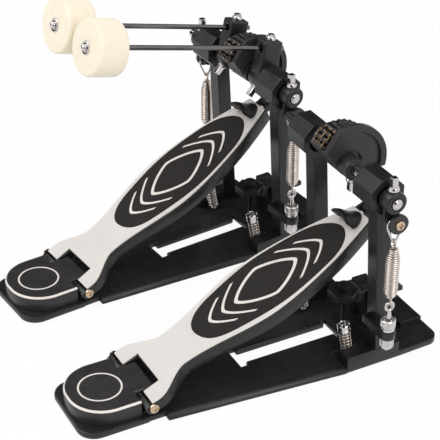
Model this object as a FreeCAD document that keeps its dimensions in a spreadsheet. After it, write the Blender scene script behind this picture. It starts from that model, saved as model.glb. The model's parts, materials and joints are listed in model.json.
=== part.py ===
import FreeCAD, Part
import math
import os
import re
import Sketcher

# Double bass drum pedal: a main pedal with two beaters and a second pedal beside it.
# Frame: x to the player's right, y from heel to drum, z up.
# The origin is on the floor under the middle of the main pedal's axle.

Vector = FreeCAD.Vector
Placement = FreeCAD.Placement
Rotation = FreeCAD.Rotation
ALONG_X = Vector(1, 0, 0)
ALONG_Y = Vector(0, 1, 0)
ALONG_Z = Vector(0, 0, 1)

doc = FreeCAD.newDocument("DoubleBassDrumPedal")
dims = doc.addObject("Spreadsheet::Sheet", "Dims")

SIZES = [
    # where the second pedal stands
    ("SlaveRight", 211),
    ("SlaveBack", 36),
    ("SlaveYaw", 5.8),
    # clearances
    ("RunningGap", 0.05),
    ("SeatGap", 0.3),
    ("ThreadGap", 0.02),
    # floor plate; its heel pad and neck are placed from the hinge
    ("BaseThickness", 6),
    ("HeelPadHalf", 42),
    ("HeelPadEnd", 67),
    ("HeelPadCorner", 18),
    ("NeckRear", 3),
    ("NeckFront", 12),
    ("NeckHalf", 41),
    ("TrayHalfRear", 48),
    ("TrayHalfFront", 64),
    ("TrayBevel", 3),
    ("SlotHalf", 9),
    ("SlotRear", 104),
    ("SlotFront", 7),
    ("SlotEndHalf", 14),
    ("SlotEndLength", 7),
    # heel block, placed from the hinge, which stands this much nearer to the axle than the board is long
    ("HingeBack", 49),
    ("HingeHeight", 16.5),
    ("HeelHalf", 36.5),
    ("HeelEnd", 65),
    ("HeelFront", 8.2),
    ("HeelTop", 22),
    ("HeelCorner", 34),
    ("HeelEdge", 1.5),
    ("TongueHalf", 20.5),
    ("TongueFront", 12),
    ("PivotRadius", 3),
    ("PivotDepth", 14),
    ("PivotHeadRadius", 4.6),
    ("PivotHeadLength", 2.2),
    # footboard; it rests below the line from hinge to axle by the tilt
    ("MainTilt", 11.1),
    ("SlaveTilt", 14.6),
    ("ArmInner", 21.2),
    ("ArmHalf", 43),
    ("ArmAt", 9),
    ("BarrelRadius", 7.4),
    ("NotchDepth", 17),
    ("BoardOver", 3),
    ("BoardUnder", 11),
    ("SkirtStart", 56),
    ("WaistHalf", 25),
    ("WaistAt", 46),
    # belly, shoulder, pad's end and toe stop lie before the toe, the clevis beyond it
    ("BoardLength", 264),
    ("BellyHalf", 40),
    ("BellyAt", 122),
    ("ShoulderHalf", 31.5),
    ("ShoulderAt", 56),
    ("ToeHalf", 15),
    ("PlateMargin", 1.2),
    ("PlateThickness", 1.5),
    ("PadStart", 71),
    ("PadEnd", 24),
    ("PadHalf", 34.5),
    ("PadRise", 0.8),
    ("ToeStopAt", 20),
    ("ToeStopLength", 17),
    ("ToeStopHalf", 10.5),
    ("ToeStopRise", 12.5),
    ("ClevisAt", 14),
    ("ClevisDrop", 6),
    ("ClevisRadius", 6),
    ("ClevisInner", 5),
    ("ClevisOuter", 9),
    ("ClevisPin", 2.3),
    # frame
    ("FootHalf", 62.5),
    ("FootFrontHalf", 61),
    ("FootRear", 25),
    ("FootFront", 80),
    ("FootThickness", 6),
    ("FootCorner", 12),
    ("ForkHalf", 36),
    ("ForkFront", 3),
    ("BlockInner", 47),
    ("BlockFront", 32),
    ("BlockTop", 17),
    ("PostInner", 47),
    ("PostWidth", 15),
    ("PostFootAhead", 14),
    ("PostFootHalf", 8),
    ("PostTopAhead", 4.5),
    ("PostTopHalf", 7.5),
    ("AxleHeight", 190),
    ("HeadInner", 42),
    ("HeadLength", 30),
    ("HeadFlats", 34),
    ("LugOuter", 87),
    ("LugHalf", 7.5),
    ("LugLow", 34),
    ("LugHigh", 26),
    ("StepHalf", 32),
    ("StepRear", 54),
    ("StepTop", 12),
    ("EarInner", 10.4),
    ("EarWidth", 6),
    ("EarRear", 27),
    ("EarFront", 43),
    ("EarTop", 45),
    # hoop clamp
    ("JawPivotAt", 35),
    ("JawPivotHeight", 37),
    ("JawPinRadius", 4),
    ("JawHalf", 10),
    ("JawTop", 45),
    ("JawGap", 32),
    ("JawNose", 70),
    ("JawPadAt", 8),
    ("JawPadRadius", 16),
    ("JawPadThickness", 8),
    ("JawScrewAt", 8),
    ("JawScrewRadius", 3),
    ("JawScrewHeadRadius", 5.5),
    ("JawScrewHead", 6),
    # axles and bearings
    ("AxleRadius", 5),
    ("AxleReach", 93),
    ("StubRadius", 4.5),
    ("StubLength", 12),
    ("PilotRadius", 3),
    ("PilotLength", 14),
    ("BearingRadius", 11),
    ("BearingWidth", 6),
    # cam
    ("CamRadius", 39.5),
    ("CamCore", 28.3),
    ("CamGroove", 20),
    ("FlangeWidth", 6),
    ("CamFlat", 11.5),
    ("CamFaceOuter", 33),
    ("CamFaceInner", 30),
    ("CamFaceBack", 1.2),
    ("CamFaceUp", 2.9),
    ("CamFaceDepth", 3),
    ("CamBar", 3),
    ("CamLip", 2),
    ("CamAhead", 2),
    ("CamSink", 1.5),
    ("CamFarRim", 1),
    ("CamHeelAngle", 146),
    ("CamHeelFlat", 28.6),
    ("CamUnderAngle", 216),
    ("CamUnderFlat", 10),
    ("CamRecess", 13.7),
    ("CamRecessDepth", 2.5),
    ("SlaveCamShift", 8),
    ("CamHubRadius", 10.5),
    ("CamHubLength", 12),
    # chain
    ("ChainRadius", 31.5),
    ("ChainWidth", 18),
    ("RollerRadius", 2.7),
    ("LinkHalfHeight", 2.3),
    ("LinkThickness", 1.6),
    ("ChainTurn", 124),
    ("ChainSeat", 0.5),
    ("ChainPitch", 6),
    ("EyeHalf", 4.2),
    ("EyeRadius", 5.2),
    ("EyeSlot", 3.0),
    ("EyeTravel", 5.0),
    ("MainEyeSink", 1.63),
    ("SlaveEyeSink", 2.39),
    # rocker, roller and return spring: the coil is placed down from the axle, the eye from the coil,
    # and the lug, eye bolt and nuts from the eye
    ("RockerInner", 73),
    ("RockerLength", 14),
    ("RockerRadius", 10.5),
    ("RockerArm", 4),
    ("RollerDrop", 23),
    ("SpringAhead", 5),
    ("RollerNeck", 3.2),
    ("RollerNeckLength", 5),
    ("RollerDisc", 9.5),
    ("RollerDiscLength", 4),
    ("RollerScrew", 2),
    ("RollerScrewHead", 4.6),
    ("StirrupWire", 1),
    ("StirrupRadius", 8.2),
    ("StirrupFoot", 2.2),
    ("CoilRadius", 5.2),
    ("CoilWire", 0.8),
    ("CoilPitch", 2.1),
    ("CoilTurns", 23),
    ("CoilLow", 100),
    ("EyeBoltRadius", 2.5),
    ("EyeBoltLow", 49),
    ("EyeHeight", 13),
    ("EyeRing", 4),
    ("EyeWire", 1.3),
    ("BarrelNutRadius", 6),
    ("BarrelNutLow", 45),
    ("KnurlRadius", 6.5),
    ("KnurlLength", 12),
    # spurs
    ("SpurAt", 41),
    ("SpurBack", 11),
    ("SpurLean", 10),
    ("SpurRadius", 3),
    ("SpurLength", 42),
    ("SpurHeadRadius", 6),
    ("SpurHeadLength", 9),
    ("SpurSocket", 3.6),
    ("SpurCoilRadius", 4.7),
    ("SpurCoilTurns", 5),
    ("SpurCoilLow", 8.8),
    # key bolts
    ("KeyRadius", 2.5),
    ("KeyFlange", 5.2),
    ("KeyFlangeLength", 4),
    ("KeyHead", 3.2),
    ("KeyHeadLength", 9),
    # beaters
    ("HolderAt", 30),
    ("HolderWidth", 16),
    ("HolderHub", 12),
    ("HolderHalf", 11),
    ("HolderTop", 40),
    ("RodRise", 14.5),
    ("RodOffset", 31),
    ("RodRadius", 3),
    ("RodFront", 18),
    ("RodBack", 215),
    ("FeltRadius", 27),
    ("FeltLength", 31),
    ("FeltEnd", 211),
    ("FeltEdge", 3),
    ("WasherRadius", 9),
    ("WasherLength", 1.6),
    ("DomeRadius", 5.5),
]
for row, (alias, value) in enumerate(SIZES, 1):
    dims.set(f"A{row}", alias)
    dims.set(f"B{row}", str(value))
    dims.setAlias(f"B{row}", alias)
doc.recompute()
ALIASES = {alias for alias, value in SIZES}
nodes = []
groups = {}


def size(alias):
    return float(dims.get(alias))


HINGE = "(BoardLength - HingeBack)"
EYE = "(AxleHeight - CoilLow - EyeHeight)"


def hinge_back():
    return size("BoardLength") - size("HingeBack")


def linked(text):
    def word(found):
        return "Dims." + found.group() if found.group() in ALIASES else found.group()
    return re.sub(r"[A-Za-z]+", word, str(text))


def minus(text):
    return f"-({text})"


def bind(piece, prop, text):
    piece.setExpression(prop, linked(text))


TURNS = {
    "X": Rotation(ALONG_Y, 90),
    "Y": Rotation(ALONG_X, -90),
    "Z": Rotation(),
}


def put(piece, at, along="Z"):
    piece.Placement = Placement(Vector(), TURNS[along])
    for axis, text in zip("xyz", at):
        if str(text) != "0":
            bind(piece, "Placement.Base." + axis, text)


def cylinder(name, radius, height, at, along="Z"):
    piece = doc.addObject("Part::Cylinder", name)
    bind(piece, "Radius", radius)
    bind(piece, "Height", height)
    put(piece, at, along)
    return piece


def box(name, low, high):
    piece = doc.addObject("Part::Box", name)
    for prop, start, end in zip(("Length", "Width", "Height"), low, high):
        bind(piece, prop, f"({end}) - ({start})")
    put(piece, low)
    return piece


def bar(name, radius, near, far, side=1, y="0", z="0"):
    start = near if side > 0 else minus(far)
    return cylinder(name, radius, f"({far}) - ({near})", (start, y, z), "X")


def side_box(name, near, far, side, low, high):
    start, end = (near, far) if side > 0 else (minus(far), minus(near))
    return box(name, (start,) + low, (end,) + high)


def join(name, *pieces):
    piece = doc.addObject("Part::MultiFuse", name)
    piece.Shapes = list(pieces)
    piece.Refine = True
    return piece


def cut(name, base, *tools):
    piece = doc.addObject("Part::Cut", name)
    piece.Base = base
    piece.Tool = tools[0] if len(tools) == 1 else join(name + "_tools", *tools)
    piece.Refine = True
    return piece


def made(name, shape):
    piece = doc.addObject("Part::Feature", name)
    piece.Shape = shape
    return piece


def node(label, piece, placement):
    piece.Label = label
    piece.Placement = placement
    nodes.append(piece)
    return piece


def member(label, piece, placement):
    piece.Placement = placement
    groups.setdefault(label, []).append(piece)
    return piece


def mirrored(right):
    left = [(minus(x), y) for x, y in reversed(right)]
    return right + left


def plane_of(body, role):
    return [feature for feature in body.Origin.OriginFeatures if feature.Role == role][0]


def outline(body, name, role, corners):
    sketch = body.newObject("Sketcher::SketchObject", name)
    sketch.AttachmentSupport = [(plane_of(body, role), "")]
    sketch.MapMode = "FlatFace"
    count = len(corners)
    spread = [
        Vector(90 * math.cos(2 * math.pi * i / count), 90 * math.sin(2 * math.pi * i / count), 0)
        for i in range(count)
    ]
    for i in range(count):
        sketch.addGeometry(Part.LineSegment(spread[i], spread[(i + 1) % count]), False)
    for i in range(count):
        sketch.addConstraint(Sketcher.Constraint("Coincident", i, 2, (i + 1) % count, 1))
    for i, corner in enumerate(corners):
        for kind, text, start in zip(("DistanceX", "DistanceY"), corner, (spread[i].x, spread[i].y)):
            index = sketch.addConstraint(Sketcher.Constraint(kind, -1, 1, i, 1, start))
            bind(sketch, f"Constraints[{index}]", text)
    return sketch


def pad(body, name, sketch, length, symmetric=False):
    feature = body.newObject("PartDesign::Pad", name)
    feature.Profile = sketch
    if symmetric:
        feature.SideType = "Symmetric"
    bind(feature, "Length", length)
    doc.recompute()
    return feature


def pocket(body, name, sketch, length):
    feature = body.newObject("PartDesign::Pocket", name)
    feature.Profile = sketch
    feature.SideType = "Symmetric"
    bind(feature, "Length", length)
    doc.recompute()
    return feature


def soften(body, kind, name, wanted, prop, text):
    last = body.Tip
    edges = [f"Edge{i}" for i, edge in enumerate(last.Shape.Edges, 1) if wanted(edge)]
    feature = body.newObject("PartDesign::" + kind, name)
    feature.Base = (last, edges)
    bind(feature, prop, text)
    doc.recompute()
    return feature


def is_upright(edge):
    ends = [vertex.Point for vertex in edge.Vertexes]
    return len(ends) == 2 and (ends[0] - ends[1]).cross(ALONG_Z).Length < 1e-6


def middle(edge):
    return edge.CenterOfMass


# Floor plate, heel block and hinge


def base_plate(pedal):
    name = pedal["name"] + "_base_plate"
    body = doc.addObject("PartDesign::Body", name)
    tongue = "ForkHalf - SeatGap"
    right = [
        ("HeelPadHalf", f"-{HINGE} - HeelPadEnd"),
        ("HeelPadHalf", f"-{HINGE} - NeckRear"),
        ("NeckHalf", f"-{HINGE} - NeckRear"),
        ("NeckHalf", f"-{HINGE} + NeckFront"),
        ("TrayHalfRear", f"-{HINGE} + NeckFront"),
        ("TrayHalfFront", "-FootRear"),
        (tongue, "-FootRear"),
        (tongue, "ForkFront"),
    ]
    pad(body, name + "_pad", outline(body, name + "_shape", "XY_Plane", mirrored(right)), "BaseThickness")
    slot = mirrored([
        ("SlotEndHalf", "-SlotRear - SlotEndLength"),
        ("SlotEndHalf", "-SlotRear"),
        ("SlotHalf", "-SlotRear"),
        ("SlotHalf", "-SlotFront"),
        ("SlotEndHalf", "-SlotFront"),
        ("SlotEndHalf", "ForkFront - SlotEndLength"),
    ])
    slot_sketch = outline(body, name + "_slot", "XY_Plane", slot)
    pocket(body, name + "_slot_cut", slot_sketch, "3 * BaseThickness")
    rear = -hinge_back() - size("HeelPadEnd")
    soften(body, "Fillet", name + "_corners",
           lambda e: is_upright(e) and abs(middle(e).y - rear) < 0.1, "Radius", "HeelPadCorner")
    low, high = -hinge_back() + size("NeckFront"), -size("FootRear")
    top, inner = size("BaseThickness"), size("TrayHalfRear") - 1

    def tray_side(edge):
        centre = middle(edge)
        return low < centre.y < high and abs(centre.x) > inner and abs(centre.z - top) < 0.01
    soften(body, "Chamfer", name + "_bevel", tray_side, "Size", "TrayBevel")
    return node(name, body, pedal["pose"])


def circle_sketch(body, name, role, across, along, radius):
    sketch = body.newObject("Sketcher::SketchObject", name)
    sketch.AttachmentSupport = [(plane_of(body, role), "")]
    sketch.MapMode = "FlatFace"
    sketch.addGeometry(Part.Circle(Vector(-9, 9, 0), ALONG_Z, 3), False)
    for kind, text, start in (("DistanceX", across, -9), ("DistanceY", along, 9)):
        index = sketch.addConstraint(Sketcher.Constraint(kind, -1, 1, 0, 3, start))
        bind(sketch, f"Constraints[{index}]", text)
    index = sketch.addConstraint(Sketcher.Constraint("Radius", 0, 3))
    bind(sketch, f"Constraints[{index}]", radius)
    return sketch


def heel_block(pedal):
    name = pedal["name"] + "_heel_block"
    body = doc.addObject("PartDesign::Body", name)
    right = [
        ("HeelHalf", f"-{HINGE} - HeelEnd"),
        ("HeelHalf", f"-{HINGE} - HeelFront"),
        ("TongueHalf", f"-{HINGE} - HeelFront"),
        ("TongueHalf", f"-{HINGE} + TongueFront"),
    ]
    shape = outline(body, name + "_shape", "XY_Plane", mirrored(right))
    pad(body, name + "_pad", shape, "HeelTop - BaseThickness")
    hole = circle_sketch(body, name + "_pivot", "YZ_Plane", "-" + HINGE,
                         "HingeHeight - BaseThickness", "PivotRadius + ThreadGap")
    pocket(body, name + "_pivot_bore", hole, "2 * TongueHalf + 2")
    rear = -hinge_back() - size("HeelEnd")
    soften(body, "Fillet", name + "_corners",
           lambda e: is_upright(e) and abs(middle(e).y - rear) < 0.1, "Radius", "HeelCorner")
    top = size("HeelTop") - size("BaseThickness")

    def top_edge(edge):
        return all(abs(vertex.Z - top) < 0.01 for vertex in edge.Vertexes)
    soften(body, "Chamfer", name + "_edge", top_edge, "Size", "HeelEdge")
    lift = Placement(Vector(0, 0, size("BaseThickness")), Rotation())
    return node(name, body, pedal["pose"].multiply(lift))


def pivot_screws(pedal):
    for side in (1, -1):
        name = f"{pedal['name']}_pivot_screw_{side + 1}"
        shank = bar(name + "_shank", "PivotRadius", "TongueHalf - PivotDepth", "ArmHalf + SeatGap + 1",
                    side, "-" + HINGE, "HingeHeight")
        head = bar(name + "_head", "PivotHeadRadius", "ArmHalf + SeatGap",
                   "ArmHalf + SeatGap + PivotHeadLength", side, "-" + HINGE, "HingeHeight")
        member("heel_pivot_screws", join(name, shank, head), pedal["pose"])


# Footboard, built lying flat: y runs from the hinge to the toe, z is square to the board


def board_face(margin, start):
    toe = size("BoardLength")
    belly, shoulder = toe - size("BellyAt"), toe - size("ShoulderAt")
    narrowing = (size("ToeHalf") - size("BellyHalf")) / size("BellyAt")
    closing = 1.5 * (size("ToeHalf") - size("ShoulderHalf")) / size("ShoulderAt") - 0.5 * narrowing
    stations = [
        (size("ArmHalf") - margin, size("ArmAt"), 0),
        (size("WaistHalf") - margin, size("WaistAt"), 0),
        (size("BellyHalf") - margin, belly, 0),
        (size("ShoulderHalf") - margin, shoulder, narrowing),
        (size("ToeHalf") - margin, toe - margin, closing),
    ]
    poles = []
    for (x, y, slope), (next_x, next_y, next_slope) in zip(stations, stations[1:]):
        third = (next_y - y) / 3
        poles.append([
            Vector(x, y, 0),
            Vector(x + slope * third, y + third, 0),
            Vector(next_x - next_slope * third, next_y - third, 0),
            Vector(next_x, next_y, 0),
        ])
    others = [[Vector(-point.x, point.y, 0) for point in reversed(four)] for four in reversed(poles)]
    curves = []
    for four in poles + others:
        curve = Part.BezierCurve()
        curve.setPoles(four)
        curves.append(curve.toShape())
    heel = [Vector(poles[0][0].x, start, 0), Vector(-poles[0][0].x, start, 0)]
    edges = [Part.makeLine(heel[0], poles[0][0])] + curves[:len(poles)]
    edges.append(Part.makeLine(poles[-1][-1], others[0][0]))
    edges += curves[len(poles):]
    edges.append(Part.makeLine(others[-1][-1], heel[1]))
    edges.append(Part.makeLine(heel[1], heel[0]))
    return Part.Face(Part.Wire(edges))


def board_slab(margin, start, low, high):
    face = board_face(margin, start)
    face.translate(Vector(0, 0, low))
    return face.extrude(Vector(0, 0, high - low))


def pad_face(grow):
    low, half = size("PadStart") - grow, size("PadHalf") + grow
    high = size("BoardLength") - size("PadEnd") + grow
    length = high - low
    right = [
        Vector(0, low, 0),
        Vector(0.55 * half, low + 0.055 * length, 0),
        Vector(0.84 * half, low + 0.22 * length, 0),
        Vector(half, low + 0.48 * length, 0),
        Vector(0.86 * half, low + 0.75 * length, 0),
        Vector(0.55 * half, low + 0.93 * length, 0),
        Vector(0, high, 0),
    ]
    left = [Vector(-point.x, point.y, 0) for point in reversed(right[1:-1])]
    curve = Part.BSplineCurve()
    curve.interpolate(right + left, PeriodicFlag=True)
    return Part.Face(Part.Wire([curve.toShape()]))


def board_tilt(pedal):
    line = math.atan2(size("AxleHeight") - size("HingeHeight"), hinge_back())
    return math.degrees(line) - size(pedal["tilt"])


def board_place(pedal):
    hinge = Vector(0, -hinge_back(), size("HingeHeight"))
    return pedal["pose"].multiply(Placement(hinge, Rotation(ALONG_X, board_tilt(pedal))))


def board_relief(name):
    # The underside rises from the skirt to the hinge barrels, so that it clears the floor plate.
    block = doc.addObject("Part::Box", name)
    bind(block, "Length", "2 * ArmHalf + 2")
    bind(block, "Width", "2 * SkirtStart")
    bind(block, "Height", "2 * BoardUnder")
    rise = size("BoardUnder") - size("BarrelRadius")
    turn = Rotation(ALONG_X, -math.degrees(math.atan2(rise, size("SkirtStart") - size("ArmAt"))))
    back = turn.multVec(Vector(size("ArmHalf") + 1, 2 * size("SkirtStart"), 2 * size("BoardUnder")))
    block.Placement = Placement(Vector(0, size("SkirtStart"), -size("BoardUnder")) - back, turn)
    return block


def footboard(pedal):
    name = pedal["name"] + "_footboard"
    slab = made(name + "_slab", board_slab(0, 0, -size("BoardUnder"), size("BoardOver")))
    solids = [cut(name + "_deck", slab, board_relief(name + "_relief"))]
    clevis = "BoardLength + ClevisAt"
    for side in (1, -1):
        solids.append(bar(f"{name}_barrel_{side + 1}", "BarrelRadius", "ArmInner", "ArmHalf", side))
        near, far = f"({pedal['cam']}) + ClevisInner", f"({pedal['cam']}) + ClevisOuter"
        if side < 0:
            near, far = f"({pedal['cam']}) - ClevisOuter", f"({pedal['cam']}) - ClevisInner"
        solids.append(box(f"{name}_cheek_{side + 1}",
                          (near, "BoardLength - 6", "-ClevisDrop - ClevisRadius + 5"),
                          (far, clevis, "-ClevisDrop + ClevisRadius")))
        solids.append(bar(f"{name}_cheek_end_{side + 1}", "ClevisRadius", near, far, 1,
                          clevis, "-ClevisDrop"))
    solids.append(bar(name + "_pin", "ClevisPin", f"({pedal['cam']}) - ClevisOuter",
                      f"({pedal['cam']}) + ClevisOuter", 1, clevis, "-ClevisDrop"))
    whole = join(name + "_whole", *solids)
    notch = box(name + "_notch", ("-ArmInner", "-2 * BarrelRadius", "-2 * BarrelRadius"),
                ("ArmInner", "NotchDepth", "2 * BarrelRadius"))
    above = box(name + "_above", ("-ArmHalf - 1", "-2 * BarrelRadius", "BoardOver"),
                ("ArmHalf + 1", "2 * BarrelRadius", "3 * BarrelRadius"))
    bore = bar(name + "_bore", "PivotRadius + RunningGap", "-ArmHalf - 1", "ArmHalf + 1")
    return node(name, cut(name, whole, notch, above, bore), board_place(pedal))


def footboard_plate(pedal):
    name = pedal["name"] + "_footboard_plate"
    low = size("BoardOver")
    high = low + size("PlateThickness")
    slab = made(name + "_slab", board_slab(size("PlateMargin"), size("PlateMargin"), low, high))
    window = pad_face(size("SeatGap"))
    window.translate(Vector(0, 0, low - 1))
    opening = made(name + "_window", window.extrude(Vector(0, 0, size("PlateThickness") + 2)))
    notch = box(name + "_notch", ("-ArmInner - PlateMargin", "-2 * BarrelRadius", "0"),
                ("ArmInner + PlateMargin", "NotchDepth + PlateMargin", "2 * BarrelRadius"))
    return node(name, cut(name, slab, opening, notch), board_place(pedal))


def grip_pad(pedal):
    name = pedal["name"] + "_grip_pad"
    face = pad_face(0)
    face.translate(Vector(0, 0, size("BoardOver")))
    solid = face.extrude(Vector(0, 0, size("PlateThickness") + size("PadRise")))
    return node(name, made(name, solid), board_place(pedal))


def toe_stop(pedal):
    name = pedal["name"] + "_toe_stop"
    body = doc.addObject("PartDesign::Body", name)
    seat = "BoardOver + PlateThickness"
    heel = "BoardLength - ToeStopAt"
    corners = [
        (heel + " + 5", seat),
        (heel + " + ToeStopLength", seat),
        (heel + " + ToeStopLength", seat + " + 3"),
        (heel + " + 12", seat + " + 0.5 * ToeStopRise"),
        (heel + " + 7", seat + " + 0.85 * ToeStopRise"),
        (heel + " + 1", seat + " + ToeStopRise"),
        (heel, seat + " + 0.85 * ToeStopRise"),
        (heel + " + 4", seat + " + 0.5 * ToeStopRise"),
    ]
    shape = outline(body, name + "_shape", "YZ_Plane", corners)
    pad(body, name + "_pad", shape, "2 * ToeStopHalf", True)
    return node(name, body, board_place(pedal))


# Frame


def frame_foot(name):
    body = doc.addObject("PartDesign::Body", name + "_foot")
    right = [
        ("FootHalf", "-FootRear"),
        ("FootHalf", "BlockFront"),
        ("FootFrontHalf", "FootFront"),
    ]
    fork = [
        ("-FootFrontHalf", "FootFront"),
        ("-FootHalf", "BlockFront"),
        ("-FootHalf", "-FootRear"),
        ("-ForkHalf", "-FootRear"),
        ("-ForkHalf", "ForkFront"),
        ("ForkHalf", "ForkFront"),
        ("ForkHalf", "-FootRear"),
    ]
    shape = outline(body, name + "_foot_shape", "XY_Plane", right + fork)
    pad(body, name + "_foot_pad", shape, "FootThickness")
    front = size("FootFront")
    soften(body, "Fillet", name + "_foot_corners",
           lambda e: is_upright(e) and abs(middle(e).y - front) < 0.1, "Radius", "FootCorner")
    return body


def frame_post(name, side):
    post = doc.addObject("Part::Wedge", name)
    near, far = "PostInner", "PostInner + PostWidth"
    if side < 0:
        near, far = minus(far), minus(near)
    for prop, text in (
        ("Xmin", near), ("Xmax", far), ("X2min", near), ("X2max", far),
        ("Ymin", "FootThickness - 1"), ("Ymax", "AxleHeight - 0.4 * HeadFlats"),
        ("Zmin", "-PostFootAhead - PostFootHalf"), ("Zmax", "PostFootHalf - PostFootAhead"),
        ("Z2min", "-PostTopAhead - PostTopHalf"), ("Z2max", "PostTopHalf - PostTopAhead"),
    ):
        bind(post, prop, text)
    post.Placement = Placement(Vector(), Rotation(ALONG_X, 90))
    return post


def frame_head(name, side):
    head = doc.addObject("Part::Prism", name)
    head.Polygon = 8
    bind(head, "Circumradius", "HeadFlats / 2 * 1.0824")
    bind(head, "Height", "HeadLength")
    start = size("HeadInner") if side > 0 else -size("HeadInner") - size("HeadLength")
    turn = Rotation(ALONG_Y, 90).multiply(Rotation(ALONG_Z, 22.5))
    head.Placement = Placement(Vector(start, 0, size("AxleHeight")), turn)
    return head


def spur_place(side):
    foot = Vector(side * size("SpurAt"), -size("SpurBack"), 0)
    return Placement(foot, Rotation(ALONG_X, size("SpurLean")))


def frame(pedal):
    name = pedal["name"] + "_frame"
    solids = [frame_foot(name)]
    holes = []
    for side in (1, -1):
        tag = f"{name}_{'right' if side > 0 else 'left'}"
        solids.append(side_box(tag + "_block", "BlockInner", "FootHalf", side,
                               ("-FootRear", "FootThickness - 1"), ("BlockFront", "BlockTop")))
        solids.append(frame_post(tag + "_post", side))
        solids.append(frame_head(tag + "_head", side))
        solids.append(side_box(tag + "_ear", "EarInner", "EarInner + EarWidth", side,
                               ("EarRear", "FootThickness - 1"), ("EarFront", "EarTop")))
        if side in pedal["springs"]:
            solids.append(cylinder(tag + "_lug_end", "LugHalf", "LugLow - LugHigh",
                                   (f"{side} * (LugOuter - LugHalf)", "SpringAhead", EYE + " - LugLow")))
            solids.append(side_box(tag + "_lug", "PostInner + 1", "LugOuter - LugHalf", side,
                                   ("SpringAhead - LugHalf", EYE + " - LugLow"),
                                   ("SpringAhead + LugHalf", EYE + " - LugHigh")))
            holes.append(cylinder(tag + "_lug_hole", "EyeBoltRadius + ThreadGap", "LugLow - LugHigh + 2",
                                  (f"{side} * ({SPRING_X})", "SpringAhead", EYE + " - LugLow - 1")))
        spur_hole = cylinder(tag + "_spur_hole", "SpurRadius + ThreadGap", "4 * FootThickness",
                             ("0", "0", "0"))
        below = Placement(Vector(0, 0, -size("FootThickness")), Rotation())
        spur_hole.Placement = spur_place(side).multiply(below)
        holes.append(spur_hole)
    solids.append(box(name + "_step", ("-StepHalf", "StepRear", "FootThickness - 1"),
                      ("StepHalf", "FootFront - 2", "StepTop")))
    holes.append(bar(name + "_head_bore", "BearingRadius + RunningGap", "-HeadInner - HeadLength - 1",
                     "HeadInner + HeadLength + 1", 1, "0", "AxleHeight"))
    holes.append(bar(name + "_ear_bore", "JawPinRadius + RunningGap", "-EarInner - EarWidth - 1",
                     "EarInner + EarWidth + 1", 1, "JawPivotAt", "JawPivotHeight"))
    return node(name, cut(name, join(name + "_whole", *solids), *holes), pedal["pose"])


def bearings(pedal):
    for side in (1, -1):
        name = f"{pedal['name']}_bearing_{side + 1}"
        near = "HeadInner + 0.5 * HeadLength - 0.5 * BearingWidth"
        far = "HeadInner + 0.5 * HeadLength + 0.5 * BearingWidth"
        ring = bar(name + "_ring", "BearingRadius", near, far, side, "0", "AxleHeight")
        bore = bar(name + "_bore", "AxleRadius + RunningGap", near + " - 1", far + " + 1", side,
                   "0", "AxleHeight")
        member("axle_bearings", cut(name, ring, bore), pedal["pose"])


def spurs(pedal):
    for side in (1, -1):
        name = f"{pedal['name']}_spur_{side + 1}"
        shank = cylinder(name + "_shank", "SpurRadius", "SpurLength - 4", ("0", "0", "4"))
        tip = doc.addObject("Part::Cone", name + "_tip")
        bind(tip, "Radius1", "0.2 * SpurRadius")
        bind(tip, "Radius2", "SpurRadius")
        tip.Height = 3
        tip.Placement = Placement(Vector(0, 0, 1), Rotation())
        head = cylinder(name + "_head", "SpurHeadRadius", "SpurHeadLength",
                        ("0", "0", "SpurLength - SpurHeadLength"))
        socket = cylinder(name + "_socket", "SpurSocket", "SpurHeadLength", ("0", "0", "SpurLength - 5"))
        bolt = cut(name, join(name + "_whole", shank, tip, head), socket)
        member("spur_bolts", bolt, pedal["pose"].multiply(spur_place(side)))


# Hoop clamp


def hoop_jaw(pedal):
    name = pedal["name"] + "_hoop_jaw"
    body = doc.addObject("PartDesign::Body", name + "_bar")
    under = "JawPivotHeight - 1.7 * JawPinRadius"
    corners = [
        ("JawPadAt", "JawTop - JawPadThickness + 1"),
        ("JawPivotAt - 8", under),
        ("JawPivotAt + 8", under),
        ("JawNose - 16", "JawGap + 3"),
        ("JawNose - 8", "JawGap"),
        ("JawNose", "JawGap"),
        ("JawNose", "JawGap + 5"),
        ("JawNose - 7", "JawTop - 2"),
        ("JawPivotAt", "JawTop"),
        ("JawPadAt", "JawTop"),
    ]
    shape = outline(body, name + "_shape", "YZ_Plane", corners)
    pad(body, name + "_pad", shape, "2 * JawHalf", True)
    plate = doc.addObject("Part::Prism", name + "_thumb")
    plate.Polygon = 6
    bind(plate, "Circumradius", "JawPadRadius")
    bind(plate, "Height", "JawPadThickness")
    put(plate, ("0", "JawPadAt", "JawTop - JawPadThickness + 2"))
    pivot = bar(name + "_pivot", "JawPinRadius", "-EarInner - EarWidth", "EarInner + EarWidth", 1,
                "JawPivotAt", "JawPivotHeight")
    thread = cylinder(name + "_thread", "JawScrewRadius + RunningGap", "JawTop",
                      ("0", "JawScrewAt", "0.5 * JawTop"))
    jaw = cut(name, join(name + "_whole", body, plate, pivot), thread)
    return node(name, jaw, pedal["pose"])


def jaw_screw(pedal):
    name = pedal["name"] + "_jaw_screw"
    top = "JawTop + 2 + SeatGap"
    shank = cylinder(name + "_shank", "JawScrewRadius", f"{top} - FootThickness - SeatGap + 1",
                     ("0", "JawScrewAt", "FootThickness + SeatGap"))
    head = cylinder(name + "_head", "JawScrewHeadRadius", "JawScrewHead", ("0", "JawScrewAt", top))
    return node(name, join(name, shank, head), pedal["pose"])


# Axles, cams and rockers, built around the axle line


SPRING_X = "RockerInner + RockerArm + 0.5 * RollerNeckLength"


def axle_place(pedal):
    return pedal["pose"].multiply(Placement(Vector(0, 0, size("AxleHeight")), Rotation()))


def drive_stub(name):
    return bar(name + "_stub", "StubRadius", "RockerInner + RockerLength - 1",
               "RockerInner + RockerLength + StubLength", -1)


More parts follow.
